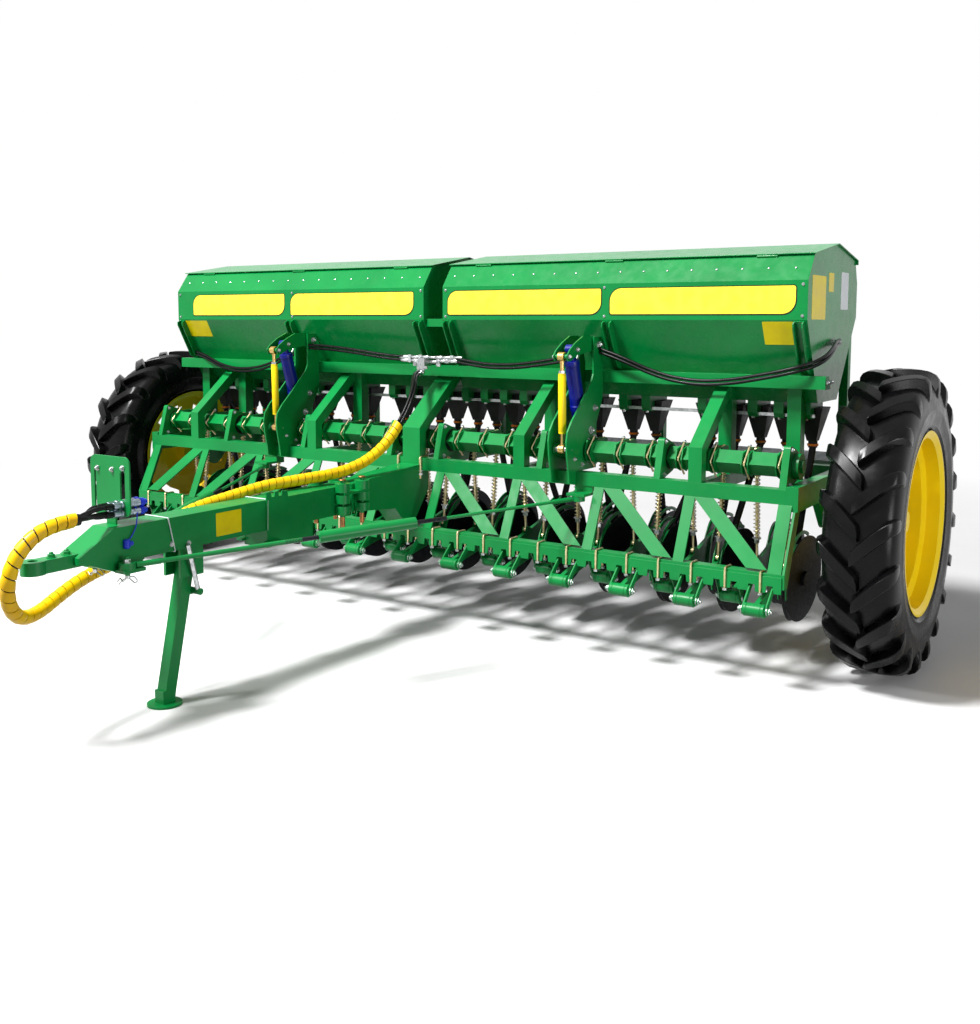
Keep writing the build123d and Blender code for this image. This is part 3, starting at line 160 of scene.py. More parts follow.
# The record's finishes
MATERIALS = {
    # sprayed frame enamel, a deep green with a satin shine
    "green_paint": paint("frame_green_paint", "#03873f", "#027837"),
    # the hopper's sheet in nearly the same green, glossier
    "green_sheet": paint("hopper_green_paint", "#02853d", "#027536", rough=(0.2, 0.3)),
    # wheel centres in warm yellow
    "rim_yellow": paint("rim_yellow_paint", "#f6d810", "#efcc08", dust=0.25),
    # turnbuckle sleeves in a lighter yellow
    "turnbuckle_yellow": paint("turnbuckle_yellow_paint", "#ffe018", "#f8d40c"),
    # cylinder barrels in ultramarine enamel
    "cylinder_blue": paint("cylinder_blue_paint", "#06158c", "#050f70"),
    # new black tyre rubber with mould sheen
    "tyre": plastic("tyre_rubber", "#0a0a0b", "#050506", rough=(0.2, 0.34), grain_mm=4, depth_mm=0.12,
                    shine=0.13),
    # springs and rods with a pale straw-coloured zinc coat
    "yellow_zinc": metal("straw_zinc_plate", "#e4d8b0", "#bda877"),
    # bolts, nuts and fittings in bright zinc
    "zinc": metal("bright_zinc_plate", "#cfd1cf", "#888c90"),
    "bright_rod": metal("chromed_rod", "#e8e8ea", "#d0d0d4", rough=(0.05, 0.12)),
    # opener discs in dark rolled steel
    "disc_steel": metal("disc_steel", "#2c2d30", "#17181a", rough=(0.3, 0.5)),
    "black_plastic": plastic("black_plastic", "#0f0f10", "#09090a"),
    "black_rubber": plastic("black_rubber", "#0b0b0c", "#070708", rough=(0.26, 0.38), shine=0.16),
    # nylon spiral wrap over the hoses
    "yellow_sleeve": plastic("hose_sleeve_yellow", "#f8cc00", "#eab400", rough=(0.32, 0.45)),
    "galvanised": metal("galvanised_grating", "#c4c7c8", "#94989a", size_mm=30),
}
for part in frame["record"]["subparts"]:
    mesh = nodes[part["node"]].data
    mesh.materials.clear()
    mesh.materials.append(MATERIALS[part["material_slot"]])

# Finishes of the added pieces
GREEN = MATERIALS["green_paint"]
STRAW = MATERIALS["yellow_zinc"]
ZINC = MATERIALS["zinc"]
RUBBER = MATERIALS["black_rubber"]
DECAL_YELLOW = plastic("decal_yellow_vinyl", "#fff04a", "#fdea3c", rough=(0.25, 0.35), grain_mm=6)
DECAL_BLACK = plastic("decal_black_vinyl", "#101010", "#0c0c0c", rough=(0.25, 0.35), grain_mm=6)
STICKER_YELLOW = plastic("sticker_yellow_film", "#ecd800", "#e0c800", rough=(0.3, 0.4), grain_mm=6)
STICKER_WHITE = plastic("sticker_white_film", "#dfe5e8", "#d2d8dc", rough=(0.3, 0.4), grain_mm=6)
BRASS = metal("brass_rod_end", "#d8b878", "#a8854a")
RUSTY = metal("weathered_pin_steel", "#a8764a", "#6a4a30", rough=(0.4, 0.6))
CAP_BLUE = plastic("cap_blue_plastic", "#1a3ce0", "#1230c0", rough=(0.3, 0.4))
DARK_STEEL = metal("greased_thread_steel", "#34353a", "#1a1b1e")
ORANGE = plastic("clip_orange_plastic", "#d87418", "#b85a0c")
COUPLING = metal("coupling_steel", "#a9b4be", "#707c88")
TIE_WHITE = plastic("tie_white_plastic", "#e4e8ea", "#ccd2d6")

# Mesh tools
SHIFT_Y = 870
LEFT, RIGHT, UP, DOWN, FRONT, BACK = (-1, 0, 0), (1, 0, 0), (0, 0, 1), (0, 0, -1), (0, -1, 0), (0, 1, 0)


def at(x, y, z):
    """A drawn point in millimetres as a place in the frame, in metres."""
    return Vector((x, y + SHIFT_Y, z)) / 1000


def piece(name, body, material, parts, replaced=(), angle=35):
    """One object from (points, faces) parts, shaded smooth up to an angle, riding on a body."""
    verts, faces = [], []
    for points, polygons in parts:
        base = len(verts)
        verts += [at(*p) for p in points]
        faces += [[base + i for i in polygon] for polygon in polygons]
    mesh = bpy.data.meshes.new(name)
    mesh.from_pydata(verts, [], faces)
    work = bmesh.new()
    work.from_mesh(mesh)
    bmesh.ops.recalc_face_normals(work, faces=work.faces)
    work.to_mesh(mesh)
    work.free()
    mesh.materials.append(material)
    mesh.shade_smooth()
    mesh.set_sharp_from_angle(angle=math.radians(angle))
    made = bpy.data.objects.new(name, mesh)
    bpy.context.scene.collection.objects.link(made)
    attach(made, body)
    if replaced:
        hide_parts(*replaced)
    return made


def rings(rows, closed=False):
    """Faces between equal rows of points, with flat ends or joined round."""
    count, sides = len(rows), len(rows[0])
    verts = [p for row in rows for p in row]
    faces = []
    for i in range(count if closed else count - 1):
        a, b = i * sides, (i + 1) % count * sides
        faces += [(a + k, a + (k + 1) % sides, b + (k + 1) % sides, b + k) for k in range(sides)]
    if not closed:
        faces += [tuple(range(sides))[::-1], tuple(range(len(verts) - sides, len(verts)))]
    return verts, faces


def circle(centre, side, other, radius, sides):
    """Points round a centre, in the plane of two directions."""
    turns = [2 * math.pi * k / sides for k in range(sides)]
    return [centre + (side * math.cos(a) + other * math.sin(a)) * radius for a in turns]


def tube(points, radius, sides=8):
    """A round bar of one thickness along points, its section carried along without twist."""
    spots = [Vector(p) for p in points]
    side, rows = None, []
    for i, spot in enumerate(spots):
        ahead = (spots[min(i + 1, len(spots) - 1)] - spots[max(i - 1, 0)]).normalized()
        side = side or ahead.orthogonal()
        side = (side - ahead * side.dot(ahead)).normalized()
        rows.append(circle(spot, side, ahead.cross(side), radius, sides))
    return rings(rows)


def turned(base, along, profile, sides=20):
    """A turned shape: rings of (distance, radius) along a direction from a base point."""
    base, axis = Vector(base), Vector(along).normalized()
    side = axis.orthogonal().normalized()
    other = axis.cross(side)
    return rings([circle(base + axis * d, side, other, r, sides) for d, r in profile])


def plug(base, along, radius, length, sides=20):
    """A plain bar from a base point: round, or a nut or square plate with few sides."""
    return turned(base, along, [(0, radius), (length, radius)], sides)


def bolt(base, along, size):
    """A washer, a hexagon nut and the rounded end of its bolt; size is the nut's radius."""
    return [
        plug(base, along, size * 1.3, size * 0.2),
        turned(base, along, [(0, size), (size * 0.85, size), (size * 0.95, size * 0.86)], 6),
        turned(base, along, [(0, size * 0.55), (size * 1.3, size * 0.55), (size * 1.5, size * 0.36)], 12),
    ]


def through(x, y, z, half, size):
    """The two ends of a bolt along X, each half away from its middle."""
    return bolt((x + half, y, z), RIGHT, size) + bolt((x - half, y, z), LEFT, size)


def bent(points, bend, steps=4):
    """The points of a bent bar, each corner rounded by a bend of about that size."""
    spots = [Vector(p) for p in points]
    path = [spots[0]]
    for a, b, c in zip(spots, spots[1:], spots[2:]):
        first, last = b + (a - b).normalized() * bend, b + (c - b).normalized() * bend
        for i in range(steps + 1):
            t = i / steps
            path.append(first * (1 - t) ** 2 + b * 2 * t * (1 - t) + last * t**2)
    return path + [spots[-1]]


def slab(outline, origin, across, up, thick):
    """A flat piece from a 2D outline, laid on a plane and raised from it by its thickness."""
    across, up = Vector(across).normalized(), Vector(up).normalized()
    out = across.cross(up)
    low = [Vector(origin) + across * u + up * v for u, v in outline]
    return rings([low, [p + out * thick for p in low]])


def rounded(u0, u1, v0, v1, corners, steps=6):
    """A rectangle's outline with its own radius at each corner, from the low left one round."""
    spots = ((u0, v0, 180), (u1, v0, 270), (u1, v1, 0), (u0, v1, 90))
    outline = []
    for (u, v, first), radius in zip(spots, corners):
        cu, cv = u + (radius if u == u0 else -radius), v + (radius if v == v0 else -radius)
        for i in range(steps + 1):
            a = math.radians(first + 90 * i / steps)
            outline.append((cu + radius * math.cos(a), cv + radius * math.sin(a)))
    return outline


# Oil hoses, on the routes of the CAD tubes
HOSES = {
    # name: (radius, real length in metres, how it lies, points)
    "hose_bundle": (26, 2.661, "loose", [
        (48, -2400, 787), (44, -2470, 786), (38, -2560, 762), (26, -2627, 696), (6, -2651, 605),
        (-22, -2627, 515), (-54, -2565, 456), (-88, -2472, 456), (-120, -2380, 484), (-142, -2285, 515),
        (-150, -2190, 540), (-146, -2095, 560), (-134, -2005, 600), (-124, -1915, 650), (-114, -1825, 694),
        (-107, -1725, 722), (-104, -1620, 734), (-94, -1485, 752), (-76, -1370, 768), (-54, -1255, 772),
        (-34, -1140, 776), (-18, -1030, 780), (-4, -920, 792), (12, -820, 820), (26, -728, 868),
        (36, -655, 925), (42, -600, 990),
    ]),
    "hose_feed": (11, 0.418, "hanging", [
        (42, -599.6, 990.5), (46, -562, 1035.5), (45, -527, 1083), (36, -488, 1130), (14, -447, 1168),
        (-18, -405, 1194), (-46, -352, 1211), (-59, -295, 1218),
    ]),
    "hose_left_inner": (10, 0.683, "loose", [
        (-150.8, -278, 1284), (-250, -281, 1288), (-370, -289, 1301), (-505, -292, 1317),
        (-645, -290, 1329), (-745, -287, 1334), (-831.4, -284, 1336),
    ]),
    "hose_left_outer": (10, 0.94, "loose", [
        (-935.4, -236, 1316), (-1005, -230, 1295), (-1085, -233, 1262), (-1180, -238, 1224),
        (-1290, -240, 1198), (-1440, -240, 1190), (-1580, -236, 1212), (-1690, -222, 1250),
        (-1775, -203, 1272), (-1840.6, -188, 1280),
    ]),
    "hose_right_inner": (10, 0.694, "loose", [
        (141.9, -278, 1284), (240, -285, 1269), (360, -290, 1257), (510, -290, 1260),
        (655, -286, 1280), (750, -282, 1296), (830.7, -280, 1304),
    ]),
    "hose_right_outer": (10, 1.388, "loose", [
        (935.5, -248, 1343), (1000, -254, 1324), (1085, -254, 1294), (1185, -250, 1254),
        (1300, -252, 1222), (1440, -253, 1208), (1580, -253, 1220), (1700, -253, 1243),
        (1795, -252, 1263), (1868, -246, 1282), (1920, -204, 1302), (1944, -138, 1326),
        (1946, -66, 1350), (1938, 10, 1370), (1924, 84, 1384), (1922, 140, 1389),
    ]),
    "hose_couplings": (10, 0.139, "hanging", [
        (24, -2262.6, 784), (24.5, -2292, 784), (31, -2324, 785), (40, -2351, 786), (46.5, -2375, 787),
        (48, -2398.6, 787),
    ]),
}
# The photograph shows two or three thinner hoses together along these routes
PAIR = (7.5, ((0, -2, 8.5), (0, 2, -8.5)))
TOGETHER = {
    # name: (radius of each hose, how far each lies from the route)
    "hose_feed": (8, ((-9, 0, -3), (9, 0, -3), (0, -6, 7))),
    "hose_left_inner": PAIR,
    "hose_left_outer": PAIR,
    "hose_right_inner": PAIR,
    "hose_right_outer": PAIR,
}
WRAP_PITCH, WRAP_GAP, WRAP_THICK, WRAP_SIDES = 38, 4.5, 3.5, 26
WRAP_HALF = (WRAP_PITCH - WRAP_GAP) / 2
CORE_INSET, CORE_STEP, CORE_SIDES = 5, 12.0, 16


def route(name, points, radius=0.0):
    """A smooth curve through the frame with the route's points as its control points."""
    data = bpy.data.curves.new(name, "CURVE")
    data.dimensions = "3D"
    data.resolution_u = 12
    spline = data.splines.new("NURBS")
    spline.points.add(len(points) - 1)
    for spot, point in zip(spline.points, points):
        spot.co = (*at(*point), 1)
    spline.order_u = 3
    spline.use_endpoint_u = True
    if radius:
        data.bevel_depth = radius / 1000
        data.bevel_resolution = 4
        data.use_fill_caps = True
    made = bpy.data.objects.new(name, data)
    bpy.context.scene.collection.objects.link(made)
    return made


def centreline(points):
    """The points of a route's smooth line, in drawn millimetres."""
    guide = route("sleeve_guide", points)
    bpy.context.view_layer.update()
    mesh = bpy.data.meshes.new_from_object(guide.evaluated_get(bpy.context.evaluated_depsgraph_get()))
    line = [v.co * 1000 - Vector((0, SHIFT_Y, 0)) for v in mesh.vertices]
    bpy.data.objects.remove(guide)
    return line


def frames(line, step):
    """Even steps along a line: each its place and two directions across it, the second near upright."""
    spots, left = [line[0]], step
    for a, b in zip(line, line[1:]):
        span = (b - a).length
        while left <= span:
            spots.append(a.lerp(b, left / span))
            left += step
        left -= span
    made = []
    for i, spot in enumerate(spots):
        ahead = (spots[min(i + 1, len(spots) - 1)] - spots[max(i - 1, 0)]).normalized()
        side = ahead.cross(Vector(UP)).normalized()
        made.append((spot, side, side.cross(ahead)))
    return made


def spiral_sleeve(line, radius):
    """A spiral wrap: one flat band wound round a line, its fore edge proud of the turn before."""
    made = frames(line, 1.0)
    last = len(made) - 1
    # the band's section: (distance along the line, radius)
    section = (
        (-WRAP_HALF, radius - WRAP_THICK - 1.6), (-WRAP_HALF, radius - 1.6), (0, radius - 0.4),
        (WRAP_HALF - 1, radius), (WRAP_HALF, radius - 0.8), (WRAP_HALF, radius - WRAP_THICK - 0.4),
    )
    rows = []
    for i in range(int((last - 2 * WRAP_HALF) / WRAP_PITCH * WRAP_SIDES)):
        a = 2 * math.pi * i / WRAP_SIDES
        middle = WRAP_HALF + WRAP_PITCH * i / WRAP_SIDES
        row = []
        for d, r in section:
            spot, side, up = made[min(last, max(0, round(middle + d)))]
            row.append(spot + (side * math.cos(a) + up * math.sin(a)) * r)
        rows.append(row)
    return rings(rows)


def bundle(name, radius, points):
    """The wrapped bundle: a black core and its yellow spiral band in one mesh."""
    line = centreline(points)
    spots = [spot for spot, *_ in frames(line, CORE_STEP)]
    core = tube(spots, radius - CORE_INSET, CORE_SIDES)
    made = piece(name + "_sleeve", "chassis", MATERIALS["yellow_sleeve"], [core, spiral_sleeve(line, radius)],
                 [name], 30)
    made.data.materials.append(RUBBER)
    for face in made.data.polygons[: len(core[1])]:
        face.material_index = 1


def hose(name, node, radius, points):
    """One black hose as a curve on its route."""
    made = route(name, points, radius)
    made.data.materials.append(RUBBER)
    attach(made, "chassis")
    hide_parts(node)


for name, (radius, length, lay, points) in HOSES.items():
    if name == "hose_bundle":
        bundle(name, radius, points)
        continue
    each, shifts = TOGETHER.get(name, (radius, ((0, 0, 0),)))
    for k, shift in enumerate(shifts):
        moved = [tuple(Vector(p) + Vector(shift)) for p in points]
        hose(f"{name}_{k + 1}", name, each, moved)


# Rows and main places, as in the model
ROW_PITCH, ROW_COUNT = 147, 26
ROWS = [(i - (ROW_COUNT - 1) / 2) * ROW_PITCH for i in range(ROW_COUNT)]
GANGS = (
    # name, rows, sleeve pivot, spring pin, disc centre
    ("front", ROWS[1::2], (-635, 342), (-280, 452), (-100, 367)),
    ("rear", ROWS[0::2], (-500, 350), (-200, 452), (150, 367)),
)
SIDES = (("right", 1), ("left", -1))
TIP = (-235, 930)
SHAFT = (-335, 885)
TOWERS = (-882, 882)
ROCKER_FRONT, ROCKER_REAR, CRANK, CYLINDER_FOOT = (-504, 1319), (-431, 1350), (-494, 904), (-322, 979)

# Tyres: a carcass with ribs on its walls, and two staggered rows of swept lugs
WHEEL_X, WHEEL_Z = 2205.5, 642.5
TYRE_STEPS = 120
LUGS, LUG_LEAD, LUG_ARC_R, LUG_BEVEL = 20, 12, 600, 0.06
# half of the carcass: (distance from its middle plane, radius)
TYRE_WALL = [
    (0, 604), (40, 604), (80, 601), (108, 593), (126, 578), (136, 560), (143, 536), (146, 508),
    (147, 486), (148.5, 480), (148.5, 474), (147, 468), (144, 440), (138, 420), (139, 415), (139, 409),
    (135, 404), (128, 394), (118, 388), (116, 370), (108, 362.6),
]
# along one lug: top x, top radius, root x, root radius, place round the tyre, half widths at top and root
LUG_STATIONS = (
    (-13, 640, -16, 600, 2, 16, 22), (-8, 642.4, -12, 600, 12, 24, 30), (14, 642.4, 12, 600, 33, 27, 35),
    (45, 641, 43, 600, 62, 28, 37), (80, 638.5, 77, 597, 92, 28, 37), (110, 633, 104, 588, 116, 27, 36),
    (133, 621, 119, 574, 132, 26, 35), (146, 602, 130, 560, 140, 25, 34), (149.4, 578, 137, 548, 144, 24, 32),
    (149.6, 552, 141, 532, 146, 21, 28), (148.4, 532, 144, 520, 147, 15, 20),
)


def on_tyre(x, radius, turn):
    """A point of the tyre, turn being the angle from the top towards the front."""
    return (x, -radius * math.sin(turn), WHEEL_Z + radius * math.cos(turn))


def lug(side, way, turn):
    """One lug, its top edges bevelled, swept towards one wall of the tyre."""
    rows = []
    for x1, r1, x0, r0, t, top, root in LUG_STATIONS:
        edge = (x1 + (x0 - x1) * LUG_BEVEL, r1 + (r0 - r1) * LUG_BEVEL)
        half = ((x0, r0, root), (*edge, top + 1), (x1, r1, top - 3))
        section = [(x, r, -w) for x, r, w in half] + list(half[::-1])
        middle = side * WHEEL_X
        rows.append([on_tyre(middle + way * x, r, turn - (t + w) / LUG_ARC_R) for x, r, w in section])
    return rings(rows)


def tyres():
    """The two tyres, in place of the model's plainer ones."""
    section = TYRE_WALL + [(-x, r) for x, r in TYRE_WALL[::-1][:-1]]
    step = 2 * math.pi / LUGS
    for name, side in SIDES:
        turns = [2 * math.pi * i / TYRE_STEPS for i in range(TYRE_STEPS)]
        parts = [rings([[on_tyre(side * WHEEL_X + x, r, a) for x, r in section] for a in turns], True)]
        for way, first in ((1, 0.0), (-1, step / 2)):
            parts += [lug(side, way, first + i * step - math.radians(LUG_LEAD)) for i in range(LUGS)]
        piece("tyre_tread_" + name, "wheel_" + name, MATERIALS["tyre"], parts, ["tyre_" + name], 32)


# Coil springs on the pull rods, between their washers and nuts
WIRE_R, COIL_R, COIL_TURNS, COIL_STEPS = 2.6, 15.5, 19, 12
COIL_LOW, COIL_HIGH = 548, 866
# washers and nuts of a pull rod: (height, radius, thickness, sides)
ROD_STOPS = ((540, 19, 4, 20), (867, 19, 4, 20), (522, 12, 16, 6), (882, 11, 12, 6))


def coil(low, high):
    """One spring's wire wound round the line between two points."""
    low, high = Vector(low), Vector(high)
    side = Vector(RIGHT)
    other = (high - low).normalized().cross(side)
    path = []
    count = COIL_TURNS * COIL_STEPS
    for i in range(count + 1):
        a = 2 * math.pi * i / COIL_STEPS
        out = side * math.cos(a) + other * math.sin(a)
        path.append(low.lerp(high, i / count) + out * (COIL_R - WIRE_R))
    return tube(path, WIRE_R, 6)


def springs():
    """The coil springs of both ranks with their washers and nuts."""
    for name, rows, _, (pin_y, pin_z), _ in GANGS:
        lean = (TIP[0] - pin_y) / (TIP[1] - pin_z)
        coils, stops = [], []
        for x in rows:
            low, high = [(x, pin_y + lean * (z - pin_z), z) for z in (COIL_LOW, COIL_HIGH)]
            coils.append(coil(low, high))
            for z, radius, thick, sides in ROD_STOPS:
                place = (x, pin_y + lean * (z - pin_z), z)
                stops.append(plug(place, (0, lean, 1), radius, thick, sides))
        piece("coil_springs_" + name, "spring_rods_" + name, STRAW, coils, ["springs_" + name], 60)
        piece("spring_collars_" + name, "spring_rods_" + name, ZINC, stops)


# U-bolts with their nuts: round the lower beam, over the rockshaft's front and over the main beam
U_BOLT_R, DRAWBAR_BOLT_R = 4.5, 6.5
BEAM_FRONT, BEAM_REAR, BEAM_TOP, BEAM_FOOT = -580.5, -515.5, 484.5, 392
BEAM_NUT_Z, BEAM_WASHER_Z = 398, 401
BEAM_LOOP = ((BEAM_FRONT, BEAM_FOOT), (BEAM_FRONT, BEAM_TOP), (BEAM_REAR, BEAM_TOP), (BEAM_REAR, BEAM_FOOT))
# the loop's corners from the shaft's middle, in y and z
SHAFT_LOOP = ((16, 75), (-56, 3), (-56, -3), (12, -71))
# plate and nut on its upper end: y, z, radius, thickness, sides
SHAFT_NUTS = ((9, 68, 10, 3, 4), (14, 73, 8, 6, 6))
DRAWBAR_BOLTS_X = (-78, 60)
DRAWBAR_NUT_Z, DRAWBAR_WASHER_Z = 728, 741
DRAWBAR_LOOP = ((-400, 806), (-461.5, 806), (-461.5, 700))


def u_bolts():
    """Round U-bolts on the lower beam and the rockshaft, one of each to a row."""
    loops, nuts = [], []
    for x in ROWS:
        loops.append(tube(bent([(x, y, z) for y, z in BEAM_LOOP], 11), U_BOLT_R))
        for y in (BEAM_FRONT, BEAM_REAR):
            nuts.append(plug((x, y, BEAM_NUT_Z), DOWN, 9, 7, 6))
            nuts.append(plug((x, y, BEAM_WASHER_Z), DOWN, 11, 2.4, 14))
    piece("beam_u_bolts", "chassis", STRAW, loops, ["lower_clamps"])
    piece("beam_u_bolt_nuts", "chassis", ZINC, nuts)
    y, z = SHAFT
    loops, nuts = [], []
    for x in ROWS:
        loops.append(tube(bent([(x, y + b, z + c) for b, c in SHAFT_LOOP], 9), U_BOLT_R))
        for b, c, radius, thick, sides in SHAFT_NUTS:
            nuts.append(plug((x, y + b, z + c), (0, -1, -1), radius, thick, sides))
    piece("shaft_u_bolts", "rockshaft", STRAW, loops, ["rockshaft_clamps"])
    piece("shaft_u_bolt_nuts", "rockshaft", ZINC, nuts)


# Round sleeves with their end grooves, and the pair of arched bars over each opener's discs
SLEEVE_START = -43
SLEEVE_FORM = [
    (0, 24), (2, 27), (12, 27), (13, 25.5), (15, 25.5), (16, 27), (70, 27), (71, 25.5), (73, 25.5), (74, 27),
    (84, 27), (86, 24),
]
ARCH_IN, ARCH_OUT, ARCH_THICK, ARCH_X = 192, 208, 5, (-19, 14)
ARCH_FROM, ARCH_TO, ARCH_STEPS = 62, 196, 22


def opener_forms():
    """The sleeves and arched bars of both ranks of openers."""
    step = (ARCH_TO - ARCH_FROM) / ARCH_STEPS
    turns = [math.radians(ARCH_FROM + step * i) for i in range(ARCH_STEPS + 1)]
    for name, rows, pivot, _, (disc_y, disc_z) in GANGS:
        sleeves, arches = [], []
        for x in rows:
            sleeves.append(turned((x + SLEEVE_START, *pivot), RIGHT, SLEEVE_FORM, 24))
            for low in (x + ARCH_X[0], x + ARCH_X[1]):
                high = low + ARCH_THICK
                section = ((low, ARCH_IN), (low, ARCH_OUT), (high, ARCH_OUT), (high, ARCH_IN))
                bar = []
                for a in turns:
                    y, z = math.cos(a), math.sin(a)
                    bar.append([(u, disc_y + r * y, disc_z + r * z) for u, r in section])
                arches.append(rings(bar))
        piece("opener_sleeves_" + name, "gang_" + name, GREEN, sleeves)
        piece("opener_arches_" + name, "gang_" + name, GREEN, arches)


# Folded clips under each U-bolt of the shaft
CLIP_THICK, CLIP_X, CLIP_TOP_AT = 5, (-22, 17), (4, 47)
CLIP_SIDE = [(-16, 32), (4, 52), (22, 52), (38, 36), (44, 8), (32, 2), (26, 24), (12, 38), (2, 40), (-8, 30)]
CLIP_TOP = [(-22, 0), (22, 0), (22, 18), (-22, 18)]


def shaft_clips():
    """One clip to a row, folded from sheet: two sides and a top."""
    y, z = SHAFT
    clips = []
    for x in ROWS:
        clips += [slab(CLIP_SIDE, (x + side, y, z), BACK, UP, CLIP_THICK) for side in CLIP_X]
        place = (x, y + CLIP_TOP_AT[0], z + CLIP_TOP_AT[1])
        clips.append(slab(CLIP_TOP, place, RIGHT, BACK, CLIP_THICK))
    piece("shaft_clips", "rockshaft", GREEN, clips)


def drawbar_u_bolts():
    """Two larger U-bolts over the main beam."""
    loops, nuts = [], []
    y = DRAWBAR_LOOP[-1][0]
    for x in DRAWBAR_BOLTS_X:
        loops.append(tube(bent([(x, b, c) for b, c in DRAWBAR_LOOP], 12), DRAWBAR_BOLT_R, 10))
        nuts.append(plug((x, y, DRAWBAR_NUT_Z), DOWN, 13, 10, 6))
        nuts.append(plug((x, y, DRAWBAR_WASHER_Z), DOWN, 15, 3, 14))
    piece("drawbar_u_bolts", "chassis", STRAW, loops)
    piece("drawbar_u_bolt_nuts", "chassis", ZINC, nuts)


# Bolts on the opener sleeves, towers, bearings and the beam under the hopper
TOWER_BOLTS = ((-250, 1370, 14), (-322, 979, 14), (-285, 1080, 12), (-470, 860, 8), (-400, 830, 8))
SUPPORTS_X = (147, 735, 1323, 1875)
SUPPORT_BOLTS = ((-392, 958), (-404, 815))
END_BOLTS_X, END_BOLTS = 1961.5, ((-180, 1224), (-125, 1224))
# half the length of the bolts through a sleeve, a tower, a support, and a rocker or crank
SLEEVE_HALF, TOWER_HALF, SUPPORT_HALF, LIFT_HALF = 50.2, 50, 15, 37


def frame_bolts():
    """Bolt ends on both sides of each sleeve, tower and support, and at the ends of the beam."""
    parts = []
    for _, rows, pivot, *_ in GANGS:
        for x in rows:
            parts += through(x, *pivot, SLEEVE_HALF, 13)
    piece("sleeve_nuts", "chassis", ZINC, parts)
    parts = []
    for x in TOWERS:
        for y, z, size in TOWER_BOLTS:
            parts += through(x, y, z, TOWER_HALF, size)
    for _, side in SIDES:
        for x in SUPPORTS_X:
            for y, z in SUPPORT_BOLTS:
                parts += through(side * x, y, z, SUPPORT_HALF, 8)
        for y, z in END_BOLTS:
            parts += bolt((side * END_BOLTS_X, y, z), (side, 0, 0), 9)
    piece("frame_bolts", "chassis", ZINC, parts)


CRANK_PIN_R, CRANK_PIN_HALF = 13, 31


def lift_pins():
    """The nuts of the rockers' pins, and the cranks' pins in the turnbuckles' lower eyes."""
    parts = []
    for x in TOWERS:
        for place in (ROCKER_FRONT, ROCKER_REAR):
            parts += through(x, *place, LIFT_HALF, 9)
    piece("rocker_nuts", "rockers", ZINC, parts)
    parts = []
    for x in TOWERS:
        parts += through(x, *CRANK, LIFT_HALF, 9)
        parts.append(plug((x - CRANK_PIN_HALF, *CRANK), RIGHT, CRANK_PIN_R, 2 * CRANK_PIN_HALF))
    piece("crank_pins", "rockshaft", ZINC, parts)


# Bolts on the hopper's front band and rivets on the slope above it
BAND_Y = -270
BAND_BOLTS_X, BAND_BOLTS_Z = (78, 968, 1878), (1500, 1630)
RIVET_FIRST, RIVET_PITCH, RIVET_COUNT, RIVET_AT, RIVET_WAY = 110, 115, 16, (-234, 1700), (0, -0.81, 0.587)
RIVET_FORM = [(0, 5), (1.5, 4.6), (2.8, 2.6)]


def hopper_bolts():
    """The band's bolts and the slope's rivets on both halves."""
    parts = []
    for _, side in SIDES:
        for x in BAND_BOLTS_X:
            for z in BAND_BOLTS_Z:
                parts += bolt((side * x, BAND_Y, z), FRONT, 5)
        for i in range(RIVET_COUNT):
            x = side * (RIVET_FIRST + i * RIVET_PITCH)
            parts.append(turned((x, *RIVET_AT), RIVET_WAY, RIVET_FORM, 12))
    piece("hopper_bolts", "chassis", ZINC, parts)


# Blank decals and stickers
DECALS_X = ((-1770, -1022), (-984, -120), (87, 956), (992, 1854))
# height and corner radii of a decal's black edge, and of its yellow field, which is narrower by a border
EDGE_Z, EDGE_CORNERS = (1503, 1629), (14, 60, 14, 60)
FIELD_Z, FIELD_CORNERS, BORDER = (1509, 1625), (10, 56, 10, 56), 5
DECAL_THICK, STICKER_THICK = 0.5, 0.6
SLOPE = (0, -182, 352)
SLOPE_FOOT = (0, BAND_Y, 1483)
END_SHEET, DRAWBAR_SIDE = (1899.5, 0, 0), (60, 0, 0)
STICKERS = (
    # two ends across, two ends up, corner radius, a point of its plane, across, up
    (-1850, -1660, -112, -8, 4, SLOPE_FOOT, RIGHT, SLOPE),
    (1707, 1847, -116, -8, 4, SLOPE_FOOT, RIGHT, SLOPE),
    (-216, -20, 1486, 1670, 6, END_SHEET, BACK, UP),
    (20, 96, 1606, 1688, 4, END_SHEET, BACK, UP),
    (-1791, -1657, 627, 720, 4, DRAWBAR_SIDE, BACK, UP),
)
PLATE = (212, 330, 1532, 1698, 4, END_SHEET, BACK, UP)


def sticker(u0, u1, v0, v1, corner, origin, across, up):
    """A thin film with rounded corners."""
    return slab(rounded(u0, u1, v0, v1, (corner,) * 4), origin, across, up, STICKER_THICK)


def films():
    """Four decals with a black edge, five yellow stickers and a white one, all blank."""
    edges, decals = [], []
    for x0, x1 in DECALS_X:
        edge = rounded(x0, x1, *EDGE_Z, EDGE_CORNERS)
        edges.append(slab(edge, (0, BAND_Y, 0), RIGHT, UP, DECAL_THICK))
        field = rounded(x0 + BORDER, x1 - BORDER, *FIELD_Z, FIELD_CORNERS)
        decals.append(slab(field, (0, BAND_Y - DECAL_THICK, 0), RIGHT, UP, DECAL_THICK))
    piece("decal_edges", "chassis", DECAL_BLACK, edges)
    piece("decals", "chassis", DECAL_YELLOW, decals)
    piece("stickers", "chassis", STICKER_YELLOW, [sticker(*row) for row in STICKERS])
    piece("plate_sticker", "chassis", STICKER_WHITE, [sticker(*PLATE)])


